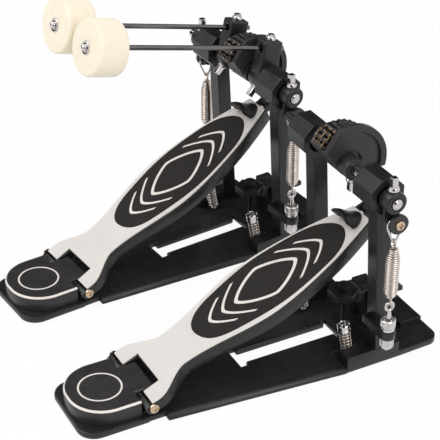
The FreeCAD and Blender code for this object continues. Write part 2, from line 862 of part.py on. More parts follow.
def axles(main, slave):
    half = "0.5 * CamGroove + FlangeWidth"
    rocker_end = "RockerInner + RockerLength"
    shaft = bar("main_axle_shaft", "AxleRadius", minus(half), "AxleReach")
    pilot = bar("main_axle_pilot", "PilotRadius", f"-({half}) - PilotLength", f"-({half}) + 1")
    node("main_axle", join("main_axle", shaft, pilot), axle_place(main))
    tube = bar("second_axle_shaft", "AxleRadius", f"{half} + SeatGap", rocker_end, -1)
    bore = bar("second_axle_bore", "PilotRadius + RunningGap", half, f"{half} + PilotLength + 2", -1)
    whole = join("second_axle_whole", tube, drive_stub("second_axle"))
    node("second_axle", cut("second_axle", whole, bore), axle_place(main))
    shaft = bar("slave_axle_shaft", "AxleRadius", f"-({rocker_end})", "AxleReach")
    node("slave_axle", join("slave_axle", shaft, drive_stub("slave_axle")), axle_place(slave))


def chain_chord():
    # How far from the axle the chain lies along the cam's flat side, from its last link on the round.
    angle = math.radians(size("ChainTurn") - size("CamHeelAngle"))
    return size("ChainRadius") * math.cos(angle)


def beyond(name, shift, angle, distance):
    # The space beyond a plane whose normal stands at the angle, from +y towards +z.
    block = doc.addObject("Part::Box", name)
    bind(block, "Length", "4 * CamGroove")
    bind(block, "Width", "4 * CamRadius")
    bind(block, "Height", "2 * CamRadius")
    turn = Rotation(ALONG_X, size(angle) - 90)
    corner = Vector(shift - 2 * size("CamGroove"), -2 * size("CamRadius"), distance)
    block.Placement = Placement(turn.multVec(corner), turn)
    return block


def cam_plate(name, shift, face, low, high):
    # The near flange: a rim round a crescent groove, with a lip below and a recess round the hub.
    disc = bar(name + "_disc", "CamRadius", f"{face} - FlangeWidth", face, 1, "CamAhead", "-CamSink")
    outer = bar(name + "_groove_outer", "CamFaceOuter", f"{face} - CamFaceDepth", f"{face} + 1", 1,
                "CamAhead", "-CamSink")
    inner = bar(name + "_groove_inner", "CamFaceInner", f"{face} - CamFaceDepth - 1", f"{face} + 2", 1,
                "-CamFaceBack", "CamFaceUp")
    under = box(name + "_under", (low, "-2 * CamRadius", "-2 * CamRadius"),
                (high, "2 * CamRadius", "-CamBar"))
    lip = box(name + "_lip", (low, "-2 * CamRadius", "-2 * CamRadius"),
              (high, "2 * CamRadius", "-CamFlat + CamLip"))
    groove = cut(name + "_groove", outer, cut(name + "_plateau", inner, under), lip)
    recess = bar(name + "_recess", "CamRecess", f"{face} - CamRecessDepth", f"{face} + 1")
    heel = beyond(name + "_heel", shift, "CamHeelAngle", size("CamHeelFlat"))
    return cut(name, disc, groove, recess, heel)


def cam(pedal):
    name = pedal["name"] + "_cam"
    shift = pedal["cam"]
    half = "0.5 * CamGroove"
    back = f"({shift}) - {half} - FlangeWidth"
    face = f"({shift}) + {half} + FlangeWidth"
    low, high = f"({shift}) - 2 * CamGroove", f"({shift}) + 2 * CamGroove"
    core = bar(name + "_core", "CamCore", f"({shift}) - {half}", f"({shift}) + {half}")
    far = bar(name + "_far_flange", "CamCore + CamFarRim", back, f"({shift}) - {half}")
    seat = chain_chord() - size("RollerRadius") - size("ChainSeat")
    drum = cut(name + "_drum", join(name + "_wheel", core, far),
               beyond(name + "_seat", pedal["cam_x"], "CamHeelAngle", seat))
    plate = cam_plate(name + "_plate", pedal["cam_x"], face, low, high)
    below = box(name + "_below", (low, "-2 * CamRadius", "-2 * CamRadius"),
                (high, "2 * CamRadius", "-CamFlat"))
    under = beyond(name + "_under", pedal["cam_x"], "CamUnderAngle", size("CamUnderFlat"))
    sector = cut(name + "_sector", join(name + "_solid", drum, plate), below, under)
    hub = bar(name + "_hub", "CamHubRadius", back, f"{face} + {pedal['hub']}")
    tools = [bar(name + "_bore", "AxleRadius + ThreadGap", "-AxleReach", "AxleReach")]
    if pedal["cam_bolt"]:
        x = f"{face} + 0.5 * ({pedal['hub']})"
        tools.append(cylinder(name + "_key_hole", "KeyRadius + ThreadGap", "2 * CamHubRadius",
                              (x, "0", "-2 * CamHubRadius")))
        upside = axle_place(pedal).multiply(Placement(Vector(), Rotation(ALONG_X, 180)))
        key_bolt(pedal["name"] + "_axle_screws", name + "_key",
                 (x, "0", "CamHubRadius", "AxleRadius + ThreadGap"), upside)
    return node(name, cut(name, join(name + "_whole", sector, hub), *tools), axle_place(pedal))


def key_bolt(label, name, at, placement):
    x, y, seat, depth = at
    shank = cylinder(name + "_shank", "KeyRadius", f"({seat}) - ({depth}) + 1", (x, y, depth))
    flange = cylinder(name + "_flange", "KeyFlange", "KeyFlangeLength", (x, y, seat))
    head = cylinder(name + "_head", "KeyHead", "KeyFlangeLength + KeyHeadLength", (x, y, seat))
    return member(label, join(name, shank, flange, head), placement)


def rocker(pedal, unit, side):
    name = unit + "_rocker"
    place = axle_place(pedal)
    outer = "RockerInner + RockerLength"
    hub = bar(name + "_hub", "RockerRadius", "RockerInner", outer, side)
    arm_end = "RockerInner + RockerArm"
    arm = side_box(name + "_arm", "RockerInner", arm_end, side,
                   ("-0.6 * RockerRadius", "-RollerDrop"), ("0.6 * RockerRadius + SpringAhead", "0"))
    toe = bar(name + "_toe", "0.6 * RockerRadius", "RockerInner", arm_end, side,
              "SpringAhead", "-RollerDrop")
    bore = bar(name + "_bore", "AxleRadius + ThreadGap", "RockerInner - 1", outer + " + 1", side)
    tapped = bar(name + "_tapped", "RollerScrew + ThreadGap", "RockerInner - 1", arm_end + " + 1", side,
                 "SpringAhead", "-RollerDrop")
    key_x = f"{side} * (RockerInner + 0.5 * RockerLength)"
    key_hole = cylinder(name + "_key_hole", "KeyRadius + ThreadGap", "RockerRadius", (key_x, "0", "0"))
    node(name, cut(name, join(name + "_whole", hub, arm, toe), bore, tapped, key_hole), place)
    neck_end = arm_end + " + RollerNeckLength"
    disc_end = neck_end + " + RollerDiscLength"
    line = ("SpringAhead", "-RollerDrop")
    neck = bar(unit + "_roller_neck", "RollerNeck", arm_end, neck_end + " + 1", side, *line)
    disc = bar(unit + "_roller_disc", "RollerDisc", neck_end, disc_end, side, *line)
    through = bar(unit + "_roller_bore", "RollerScrew + ThreadGap",
                  arm_end + " - 1", disc_end + " + 1", side, *line)
    node(unit + "_roller", cut(unit + "_roller", join(unit + "_roller_whole", neck, disc), through), place)
    shank = bar(unit + "_roller_screw_shank", "RollerScrew", "RockerInner + 0.5", disc_end + " + 1", side,
                *line)
    head = bar(unit + "_roller_screw_head", "RollerScrewHead", disc_end, disc_end + " + 2", side, *line)
    label = unit + "_axle_screws"
    member(label, join(unit + "_roller_screw", shank, head), place)
    key_bolt(label, unit + "_rocker_key", (key_x, "0", "RockerRadius", "AxleRadius + ThreadGap"), place)


# Chain: the run, two groups of LOOSE rollers that leave the cam in a stroke, and the wrap, which stays
# on it and ends with SEATED rollers on its flat side

LOOSE = 3
SEATED = 2


def board_pin(pedal):
    tilt = math.radians(board_tilt(pedal))
    along, under = size("BoardLength") + size("ClevisAt"), -size("ClevisDrop")
    y = -hinge_back() + along * math.cos(tilt) - under * math.sin(tilt)
    z = size("HingeHeight") + along * math.sin(tilt) + under * math.cos(tilt)
    return y, z - size("AxleHeight")


def tangent(y, z):
    reach = math.hypot(y, z)
    angle = math.atan2(z, y) + math.acos(size("ChainRadius") / reach)
    return angle, math.sqrt(reach ** 2 - size("ChainRadius") ** 2)


def on_cam(angle):
    return Vector(0, size("ChainRadius") * math.cos(angle), size("ChainRadius") * math.sin(angle))


def links(points):
    half = size("ChainWidth") / 2
    thick = size("LinkThickness")
    high = size("LinkHalfHeight")
    solids = []
    for point in points:
        solids.append(Part.makeCylinder(size("RollerRadius"), 2 * half, point - ALONG_X * half, ALONG_X))
    for first, second in zip(points, points[1:]):
        run = second - first
        turn = Rotation(ALONG_Y, run)
        for x in (-half, -thick / 2, half - thick):
            plate = Part.makeBox(thick, run.Length, 2 * high, Vector(x, 0, -high))
            plate.Placement = Placement(first, turn)
            solids.append(plate)
    return solids


def capsule(half_x, radius, first, second):
    run = second - first
    near_end = Part.makeCylinder(radius, 2 * half_x, first - ALONG_X * half_x, ALONG_X)
    far_end = Part.makeCylinder(radius, 2 * half_x, second - ALONG_X * half_x, ALONG_X)
    middle_box = Part.makeBox(2 * half_x, run.Length, 2 * radius, Vector(-half_x, 0, -radius))
    middle_box.Placement = Placement(first, Rotation(ALONG_Y, run))
    return near_end.multiFuse([far_end, middle_box]).removeSplitter()


def chain(pedal):
    name = pedal["name"] + "_chain"
    y, z = board_pin(pedal)
    start, free = tangent(y, z)
    step = size("ChainPitch") / size("ChainRadius")
    place = axle_place(pedal).multiply(Placement(Vector(pedal["cam_x"], 0, 0), Rotation()))
    wrap = []
    angle = start + (1 + 2 * LOOSE) * step
    while angle < math.radians(size("ChainTurn")):
        wrap.append(on_cam(angle))
        angle += step
    flat = math.radians(size("CamHeelAngle"))
    outward = Vector(0, math.cos(flat), math.sin(flat))
    along = Vector(0, -math.sin(flat), math.cos(flat))
    for i in range(SEATED):
        beside = wrap[-1].dot(along) + size("ChainPitch")
        wrap.append(outward * chain_chord() + along * beside)
    wrap_solids = links(wrap)
    node(name + "_wrap", made(name + "_wrap", wrap_solids[0].multiFuse(wrap_solids[1:])), place)
    for label, first in (("_upper", 1 + LOOSE), ("_lower", 1)):
        part = links([on_cam(start + (first + i) * step) for i in range(LOOSE)])
        node(name + label, made(name + label, part[0].multiFuse(part[1:])), place)
    pitch = size("ChainPitch")
    pin = Vector(0, y, z)
    leave = on_cam(start)
    down = (pin - leave).normalize()
    clear = size("ClevisRadius") + size("RollerRadius") + 2 * size("SeatGap")
    run = [leave + down * (i * pitch) for i in range(int((free - clear) / pitch) + 1)]
    run_solids = links(run)
    heel = pin - Vector(0, size("EyeTravel"), size(pedal["sink"]))
    eye = capsule(size("EyeHalf"), size("EyeRadius"), pin, heel)
    shank = capsule(size("EyeHalf"), size("LinkHalfHeight"), run[-1], pin)
    solid = run_solids[0].multiFuse(run_solids[1:] + [eye, shank])
    slot = capsule(size("EyeHalf") + 1, size("EyeSlot"), pin, heel)
    node(name + "_run", made(name + "_run", solid.cut(slot)), place)


# Wound springs and bent wire


def arc_from(start, heading, end):
    chord = end - start
    along = Vector(chord).normalize()
    rise = heading - along * heading.dot(along)
    if rise.Length < 1e-7:
        return Part.makeLine(start, end)
    lean = heading.getAngle(along)
    crown = start + chord * 0.5 + rise.normalize() * (0.5 * chord.Length * math.tan(lean / 2))
    return Part.Arc(start, crown, end).toShape()


def biarc(start, heading, end, arrival):
    chord = end - start
    both = heading + arrival
    spread = 2 * (1 - heading.dot(arrival))
    reach = chord.dot(both)
    if spread < 1e-9:
        reach = chord.dot(chord) / (2 * reach)
    else:
        reach = (math.sqrt(reach ** 2 + spread * chord.dot(chord)) - reach) / spread
    join_point = (start + heading * reach + end - arrival * reach) * 0.5
    second = arc_from(end, arrival * -1, join_point)
    second.reverse()
    return [arc_from(start, heading, join_point), second]


def coil_points(radius, pitch, turns, low, steps):
    points = []
    for i in range(int(turns * steps) + 1):
        angle = 2 * math.pi * i / steps
        point = Vector(radius * math.cos(angle), radius * math.sin(angle), low + pitch * i / steps)
        heading = Vector(-radius * math.sin(angle), radius * math.cos(angle), pitch / (2 * math.pi))
        points.append((point, heading.normalize()))
    return points


def least_gap(path, radius, wire):
    # Each point is measured to those from about half a turn to one and a half turns further on.
    turn = 32
    points = path.discretize(Number=int(turn * path.Length / (2 * math.pi * radius)))
    nearest = math.inf
    for i, point in enumerate(points):
        for other in points[i + turn // 2:i + 3 * turn // 2]:
            nearest = min(nearest, (point - other).Length)
    return nearest - 2 * wire


def coil(radius, wire, pitch, turns, low, tail):
    # Two half-turn stations a turn; each end runs out straight for one wire diameter.
    stations = coil_points(radius, pitch, turns, low, 2)
    edges = []
    first, heading = stations[0]
    last, leaving = stations[-1]
    if tail > 0:
        foot = Vector(0, 0, low - tail)
        edges.append(Part.makeLine(foot - ALONG_Z * 2 * wire, foot))
        edges += biarc(foot, ALONG_Z, first, heading)
    else:
        edges.append(Part.makeLine(first - heading * 2 * wire, first))
    for (p, t), (q, u) in zip(stations, stations[1:]):
        edges += biarc(p, t, q, u)
    if tail > 0:
        crown = Vector(0, 0, last.z + tail)
        edges += biarc(last, leaving, crown, ALONG_Z)
        edges.append(Part.makeLine(crown, crown + ALONG_Z * 2 * wire))
    else:
        edges.append(Part.makeLine(last, last + leaving * 2 * wire))
    path = Part.Wire(edges)
    begin = edges[0].Vertexes[0].Point
    ring = Part.Wire([Part.makeCircle(wire, begin, edges[0].Vertexes[-1].Point - begin)])
    print(f"least gap of the coil to itself {least_gap(path, radius, wire):.2f} mm")
    return path.makePipeShell([ring], True, False)


def coil_top():
    return size("AxleHeight") - size("CoilLow") + size("CoilPitch") * size("CoilTurns")


def return_spring(pedal, unit, side):
    name = unit + "_spring"
    shape = coil(size("CoilRadius"), size("CoilWire"), size("CoilPitch"), size("CoilTurns"), 0, 5)
    x = side * (size("RockerInner") + size("RockerArm") + size("RollerNeckLength") / 2)
    spot = Placement(Vector(x, size("SpringAhead"), size("AxleHeight") - size("CoilLow")), Rotation())
    node(name, made(name, shape), pedal["pose"].multiply(spot))
    return_hook(pedal, unit, x)
    eye_bolt(pedal, unit, side)


def return_hook(pedal, unit, x):
    name = unit + "_spring_stirrup"
    radius, wire = size("StirrupRadius"), size("StirrupWire")
    top = size("AxleHeight") - size("RollerDrop") + size("RollerNeck") + size("SeatGap") + wire - radius
    low = coil_top() + 5 + 2 * size("CoilWire") + size("SeatGap") + wire
    small = size("StirrupFoot")
    drop = top - low - small
    lean = math.asin((radius - small) / drop)
    side_point = Vector(0, radius * math.cos(lean), top - radius * math.sin(lean))
    foot_point = Vector(0, small * math.cos(lean), low + small - small * math.sin(lean))
    mirror_side = Vector(0, -side_point.y, side_point.z)
    mirror_foot = Vector(0, -foot_point.y, foot_point.z)
    path = Part.Wire([
        Part.Arc(side_point, Vector(0, 0, top + radius), mirror_side).toShape(),
        Part.makeLine(mirror_side, mirror_foot),
        Part.Arc(mirror_foot, Vector(0, 0, low), foot_point).toShape(),
        Part.makeLine(foot_point, side_point),
    ])
    crown = path.Edges[0]
    ring = Part.Wire([Part.makeCircle(wire, side_point, crown.tangentAt(crown.FirstParameter))])
    loop = path.makePipeShell([ring], True, False)
    spot = Placement(Vector(x, size("SpringAhead"), 0), Rotation())
    node(name, made(name, loop), pedal["pose"].multiply(spot))


def eye_bolt(pedal, unit, side):
    name = unit + "_eye_bolt"
    x = f"{side} * ({SPRING_X})"
    shank = cylinder(name + "_shank", "EyeBoltRadius", "EyeBoltLow - EyeRing",
                     (x, "SpringAhead", EYE + " - EyeBoltLow"))
    barrel = cylinder(name + "_barrel", "BarrelNutRadius", "BarrelNutLow - LugLow",
                      (x, "SpringAhead", EYE + " - BarrelNutLow"))
    ring = doc.addObject("Part::Torus", name + "_ring")
    bind(ring, "Radius1", "EyeRing")
    bind(ring, "Radius2", "EyeWire")
    put(ring, (x, "SpringAhead", EYE), "X")
    member("tension_rods", join(name, shank, barrel, ring), pedal["pose"])
    nut_name = unit + "_tension_nut"
    nut = cylinder(nut_name + "_round", "KnurlRadius", "KnurlLength",
                   (x, "SpringAhead", EYE + " - LugHigh + SeatGap"))
    bore = cylinder(nut_name + "_bore", "EyeBoltRadius + RunningGap", "KnurlLength + 2",
                    (x, "SpringAhead", EYE + " - LugHigh - 1"))
    node(nut_name, cut(nut_name, nut, bore), pedal["pose"])


def spur_springs(pedal):
    low = size("SpurCoilLow")
    high = size("SpurLength") - size("SpurHeadLength") - 1.2
    pitch = (high - low) / size("SpurCoilTurns")
    for side in (1, -1):
        shape = coil(size("SpurCoilRadius"), size("CoilWire"), pitch, size("SpurCoilTurns"), low, 0)
        piece = made(f"{pedal['name']}_spur_spring_{side + 1}", shape)
        member("spur_springs", piece, pedal["pose"].multiply(spur_place(side)))


# Beaters, built with the rod along y and leaned by the rod's rise


def rod_place(pedal):
    return axle_place(pedal).multiply(Placement(Vector(), Rotation(ALONG_X, -size("RodRise"))))


def beater(pedal, unit, side, label):
    place = rod_place(pedal)
    near, far = "HolderAt - 0.5 * HolderWidth", "HolderAt + 0.5 * HolderWidth"
    x = f"{side} * HolderAt"
    name = label + "_beater_holder"
    hub = bar(name + "_hub", "HolderHub", near, far, side)
    block = side_box(name + "_block", near, far, side, ("-HolderHalf", "0"), ("HolderHalf", "HolderTop"))
    bore = bar(name + "_bore", "AxleRadius + ThreadGap", near + " - 1", far + " + 1", side)
    guide = cylinder(name + "_guide", "RodRadius + RunningGap", "4 * HolderHalf",
                     (x, "-2 * HolderHalf", "RodOffset"), "Y")
    key_hole = cylinder(name + "_key_hole", "KeyRadius + ThreadGap", "HolderTop", (x, "0", "RodOffset"))
    node(name, cut(name, join(name + "_whole", hub, block), bore, guide, key_hole), place)
    key_bolt(unit + "_axle_screws", label + "_beater_key",
             (x, "0", "HolderTop", "RodOffset + RodRadius + RunningGap"), place)
    rod = cylinder(label + "_rod_wire", "RodRadius", "RodBack + RodFront",
                   (x, "-RodBack", "RodOffset"), "Y")
    washer = cylinder(label + "_rod_washer", "WasherRadius", "WasherLength",
                      (x, "-FeltEnd - WasherLength", "RodOffset"), "Y")
    dome = doc.addObject("Part::Sphere", label + "_rod_dome")
    bind(dome, "Radius", "DomeRadius")
    put(dome, (x, "-FeltEnd - WasherLength", "RodOffset"))
    keep = box(label + "_dome_keep", (x + " - 9", "-FeltEnd - WasherLength - 9", "RodOffset - 9"),
               (x + " + 9", "-FeltEnd - WasherLength", "RodOffset + 9"))
    cap = doc.addObject("Part::Common", label + "_rod_cap")
    cap.Base = dome
    cap.Tool = keep
    node(label + "_beater_rod", join(label + "_beater_rod", rod, washer, cap), place)
    felt = cylinder(label + "_felt_round", "FeltRadius", "FeltLength", (x, "-FeltEnd", "RodOffset"), "Y")
    doc.recompute()
    rim = doc.addObject("Part::Fillet", label + "_felt_rim")
    rim.Base = felt
    edge = size("FeltEdge")
    rim.Edges = [(i, edge, edge) for i, e in enumerate(felt.Shape.Edges, 1) if e.isClosed()]
    hole = cylinder(label + "_felt_hole", "RodRadius + ThreadGap", "FeltLength + 2",
                    (x, "-FeltEnd - 1", "RodOffset"), "Y")
    node(label + "_beater_felt", cut(label + "_beater_felt", rim, hole), place)


MAIN = {
    "name": "main",
    "pose": Placement(),
    "tilt": "MainTilt",
    "cam": "0",
    "cam_x": 0,
    "hub": "0.4",
    "sink": "MainEyeSink",
    "cam_bolt": False,
    "springs": (1, -1),
}
SLAVE = {
    "name": "slave",
    "pose": Placement(Vector(size("SlaveRight"), -size("SlaveBack"), 0),
                      Rotation(ALONG_Z, -size("SlaveYaw"))),
    "tilt": "SlaveTilt",
    "cam": "-SlaveCamShift",
    "cam_x": -size("SlaveCamShift"),
    "hub": "CamHubLength",
    "sink": "SlaveEyeSink",
    "cam_bolt": True,
    "springs": (1,),
}

for pedal in (MAIN, SLAVE):
    for make in (base_plate, heel_block, pivot_screws, footboard, footboard_plate, grip_pad, toe_stop,
                 frame, bearings, spurs, spur_springs, hoop_jaw, jaw_screw, cam, chain):
        make(pedal)
axles(MAIN, SLAVE)
for pedal, unit, side in ((MAIN, "main", 1), (MAIN, "second", -1), (SLAVE, "slave", 1)):
    rocker(pedal, unit, side)
    return_spring(pedal, unit, side)
beater(MAIN, "main", 1, "near")
beater(MAIN, "second", -1, "far")
for label, pieces in groups.items():
    compound = doc.addObject("Part::Compound", label + "_group")
    compound.Links = pieces
    node(label, compound, Placement())
doc.recompute()

for piece in doc.Objects:
    if "Invalid" in piece.State or "Error" in piece.State:
        raise RuntimeError(f"{piece.Name} did not build: {piece.State}")
os.makedirs("parts", exist_ok=True)
for piece in nodes:
    shape = piece.Shape
    if shape.isNull() or not shape.isValid():
        raise RuntimeError(f"{piece.Label} has no valid shape")
    shape.exportStep(f"parts/{piece.Label}.step")
    print(piece.Label, len(shape.Solids), round(shape.Volume))
print(len(nodes), "nodes")
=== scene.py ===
import json
import math

import bmesh
import bpy
from mathutils import Matrix, Vector, noise

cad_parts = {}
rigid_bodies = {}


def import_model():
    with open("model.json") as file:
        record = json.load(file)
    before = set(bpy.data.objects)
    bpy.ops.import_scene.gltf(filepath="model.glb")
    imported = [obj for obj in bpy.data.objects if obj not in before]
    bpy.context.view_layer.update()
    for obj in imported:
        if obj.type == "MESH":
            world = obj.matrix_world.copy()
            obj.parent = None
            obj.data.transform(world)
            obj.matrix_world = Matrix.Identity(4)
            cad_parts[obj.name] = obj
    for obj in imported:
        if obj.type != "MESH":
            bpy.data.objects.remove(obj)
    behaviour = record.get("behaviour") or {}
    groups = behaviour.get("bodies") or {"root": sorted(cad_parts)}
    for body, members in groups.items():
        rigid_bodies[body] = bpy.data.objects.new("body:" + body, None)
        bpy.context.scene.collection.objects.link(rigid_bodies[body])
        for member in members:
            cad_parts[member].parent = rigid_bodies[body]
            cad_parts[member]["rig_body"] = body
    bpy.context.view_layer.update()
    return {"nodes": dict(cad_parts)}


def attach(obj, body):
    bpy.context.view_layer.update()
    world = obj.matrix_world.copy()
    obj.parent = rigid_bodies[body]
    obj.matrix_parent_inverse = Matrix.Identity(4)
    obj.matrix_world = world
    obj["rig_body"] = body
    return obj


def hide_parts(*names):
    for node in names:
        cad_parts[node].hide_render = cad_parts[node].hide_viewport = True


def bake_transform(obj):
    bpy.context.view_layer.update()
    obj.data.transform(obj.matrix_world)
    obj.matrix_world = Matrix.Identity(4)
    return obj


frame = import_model()
nodes = frame["nodes"]
mm = 0.001

# Where the two pedals stand; lengths are millimetres and angles degrees.
axleHeight = 190
hinge = {"back": 215, "height": 16.5}
hingeLine = math.degrees(math.atan2(axleHeight - hinge["height"], hinge["back"]))
pedals = {
    "main": {"right": 0, "back": 0, "yaw": 0, "tilt": hingeLine - 11.1, "camAt": 0},
    "slave": {"right": 211, "back": 36, "yaw": 5.8, "tilt": hingeLine - 14.6, "camAt": -8},
}
units = {
    "main": {"pedal": pedals["main"], "side": 1},
    "second": {"pedal": pedals["main"], "side": -1},
    "slave": {"pedal": pedals["slave"], "side": 1},
}
beaters = {"near": {"unit": "main", "at": 30}, "far": {"unit": "second", "at": -30}}
rodRise = 14.5


def shift(x, y, z):
    return Matrix.Translation(Vector((x, y, z)) * mm)


def turn(degrees, axis):
    return Matrix.Rotation(math.radians(degrees), 4, axis)


def pedalPose(pedal):
    return shift(pedal["right"], -pedal["back"], 0) @ turn(-pedal["yaw"], "Z")


def boardPose(pedal):
    return pedalPose(pedal) @ shift(0, -hinge["back"], hinge["height"]) @ turn(pedal["tilt"], "X")


def axlePose(pedal):
    return pedalPose(pedal) @ shift(0, 0, axleHeight)


def rodPose():
    return axlePose(pedals["main"]) @ turn(-rodRise, "X")


print("materials")


def tint(red, green, blue):
    # a colour as it should look on screen, to the linear value that shaders take
    linear = []
    for level in (red, green, blue):
        share = level / 255
        linear.append(share / 12.92 if share < 0.04045 else ((share + 0.055) / 1.055) ** 2.4)
    return (*linear, 1)


def newGroup(name, inputs, outputs):
    group = bpy.data.node_groups.new(name, "ShaderNodeTree")
    for label, kind, value in inputs:
        group.interface.new_socket(name=label, in_out="INPUT", socket_type=kind).default_value = value
    for label, kind in outputs:
        group.interface.new_socket(name=label, in_out="OUTPUT", socket_type=kind)
    return group, group.nodes.new("NodeGroupInput"), group.nodes.new("NodeGroupOutput")


def addNode(tree, kind, **values):
    made = tree.nodes.new(kind)
    for key, value in values.items():
        if hasattr(made, key):
            setattr(made, key, value)
        else:
            made.inputs[key.replace("_", " ")].default_value = value
    return made


grainMix = {"fine": 0.45, "broad": 0.55, "from": 0.36, "to": 0.64}


def grainGroup():
    # fine grain for the bump, and broad soft patches for colour and gloss
    group, given, result = newGroup(
        "surfaceGrain",
        [
            ("Light", "NodeSocketColor", (0.5, 0.5, 0.5, 1)),
            ("Dark", "NodeSocketColor", (0.4, 0.4, 0.4, 1)),
            ("Grain", "NodeSocketFloat", 1000.0),
            ("Patches", "NodeSocketFloat", 40.0),
            ("Stretch", "NodeSocketVector", (1.0, 1.0, 1.0)),
            ("Smooth", "NodeSocketFloat", 0.3),
            ("Rough", "NodeSocketFloat", 0.5),
            ("Depth", "NodeSocketFloat", 0.00002),
        ],
        [("Color", "NodeSocketColor"), ("Roughness", "NodeSocketFloat"), ("Normal", "NodeSocketVector")],
    )
    link = group.links.new
    place = addNode(group, "ShaderNodeTexCoord")
    drawn = addNode(group, "ShaderNodeVectorMath", operation="MULTIPLY")
    link(place.outputs["Object"], drawn.inputs[0])
    link(given.outputs["Stretch"], drawn.inputs[1])
    fine = addNode(group, "ShaderNodeTexNoise", Detail=3.0, Roughness=0.6)
    link(drawn.outputs[0], fine.inputs["Vector"])
    link(given.outputs["Grain"], fine.inputs["Scale"])
    broad = addNode(group, "ShaderNodeTexNoise", Detail=5.0, Roughness=0.65)
    link(place.outputs["Object"], broad.inputs["Vector"])
    link(given.outputs["Patches"], broad.inputs["Scale"])
    blend = addNode(group, "ShaderNodeMath", operation="MULTIPLY_ADD")
    link(fine.outputs["Fac"], blend.inputs[0])
    blend.inputs[1].default_value = grainMix["fine"]
    scaled = addNode(group, "ShaderNodeMath", operation="MULTIPLY")
    link(broad.outputs["Fac"], scaled.inputs[0])
    scaled.inputs[1].default_value = grainMix["broad"]
    link(scaled.outputs[0], blend.inputs[2])
    spread = addNode(group, "ShaderNodeMapRange", interpolation_type="SMOOTHSTEP",
                     From_Min=grainMix["from"], From_Max=grainMix["to"])
    link(blend.outputs[0], spread.inputs["Value"])
    colour = addNode(group, "ShaderNodeMix", data_type="RGBA")
    link(spread.outputs[0], colour.inputs["Factor"])
    link(given.outputs["Dark"], colour.inputs[6])
    link(given.outputs["Light"], colour.inputs[7])
    gloss = addNode(group, "ShaderNodeMapRange", From_Min=0.0, From_Max=1.0)
    link(spread.outputs[0], gloss.inputs["Value"])
    link(given.outputs["Smooth"], gloss.inputs["To Min"])
    link(given.outputs["Rough"], gloss.inputs["To Max"])
    bump = addNode(group, "ShaderNodeBump", Strength=1.0)
    link(fine.outputs["Fac"], bump.inputs["Height"])
    link(given.outputs["Depth"], bump.inputs["Distance"])
    link(colour.outputs[2], result.inputs["Color"])
    link(gloss.outputs[0], result.inputs["Roughness"])
    link(bump.outputs[0], result.inputs["Normal"])
    return group


surfaceGrain = grainGroup()


def newMaterial(name, finish):
    made = bpy.data.materials.new(name)
    made.use_nodes = True
    tree = made.node_tree
    shader = tree.nodes["Principled BSDF"]
    grain = addNode(tree, "ShaderNodeGroup")
    grain.node_tree = surfaceGrain
    for label, value in finish.items():
        holder = grain if label in grain.inputs else shader
        holder.inputs[label].default_value = value
    for result, label in (("Color", "Base Color"), ("Roughness", "Roughness"), ("Normal", "Normal")):
        tree.links.new(grain.outputs[result], shader.inputs[label])
    return made


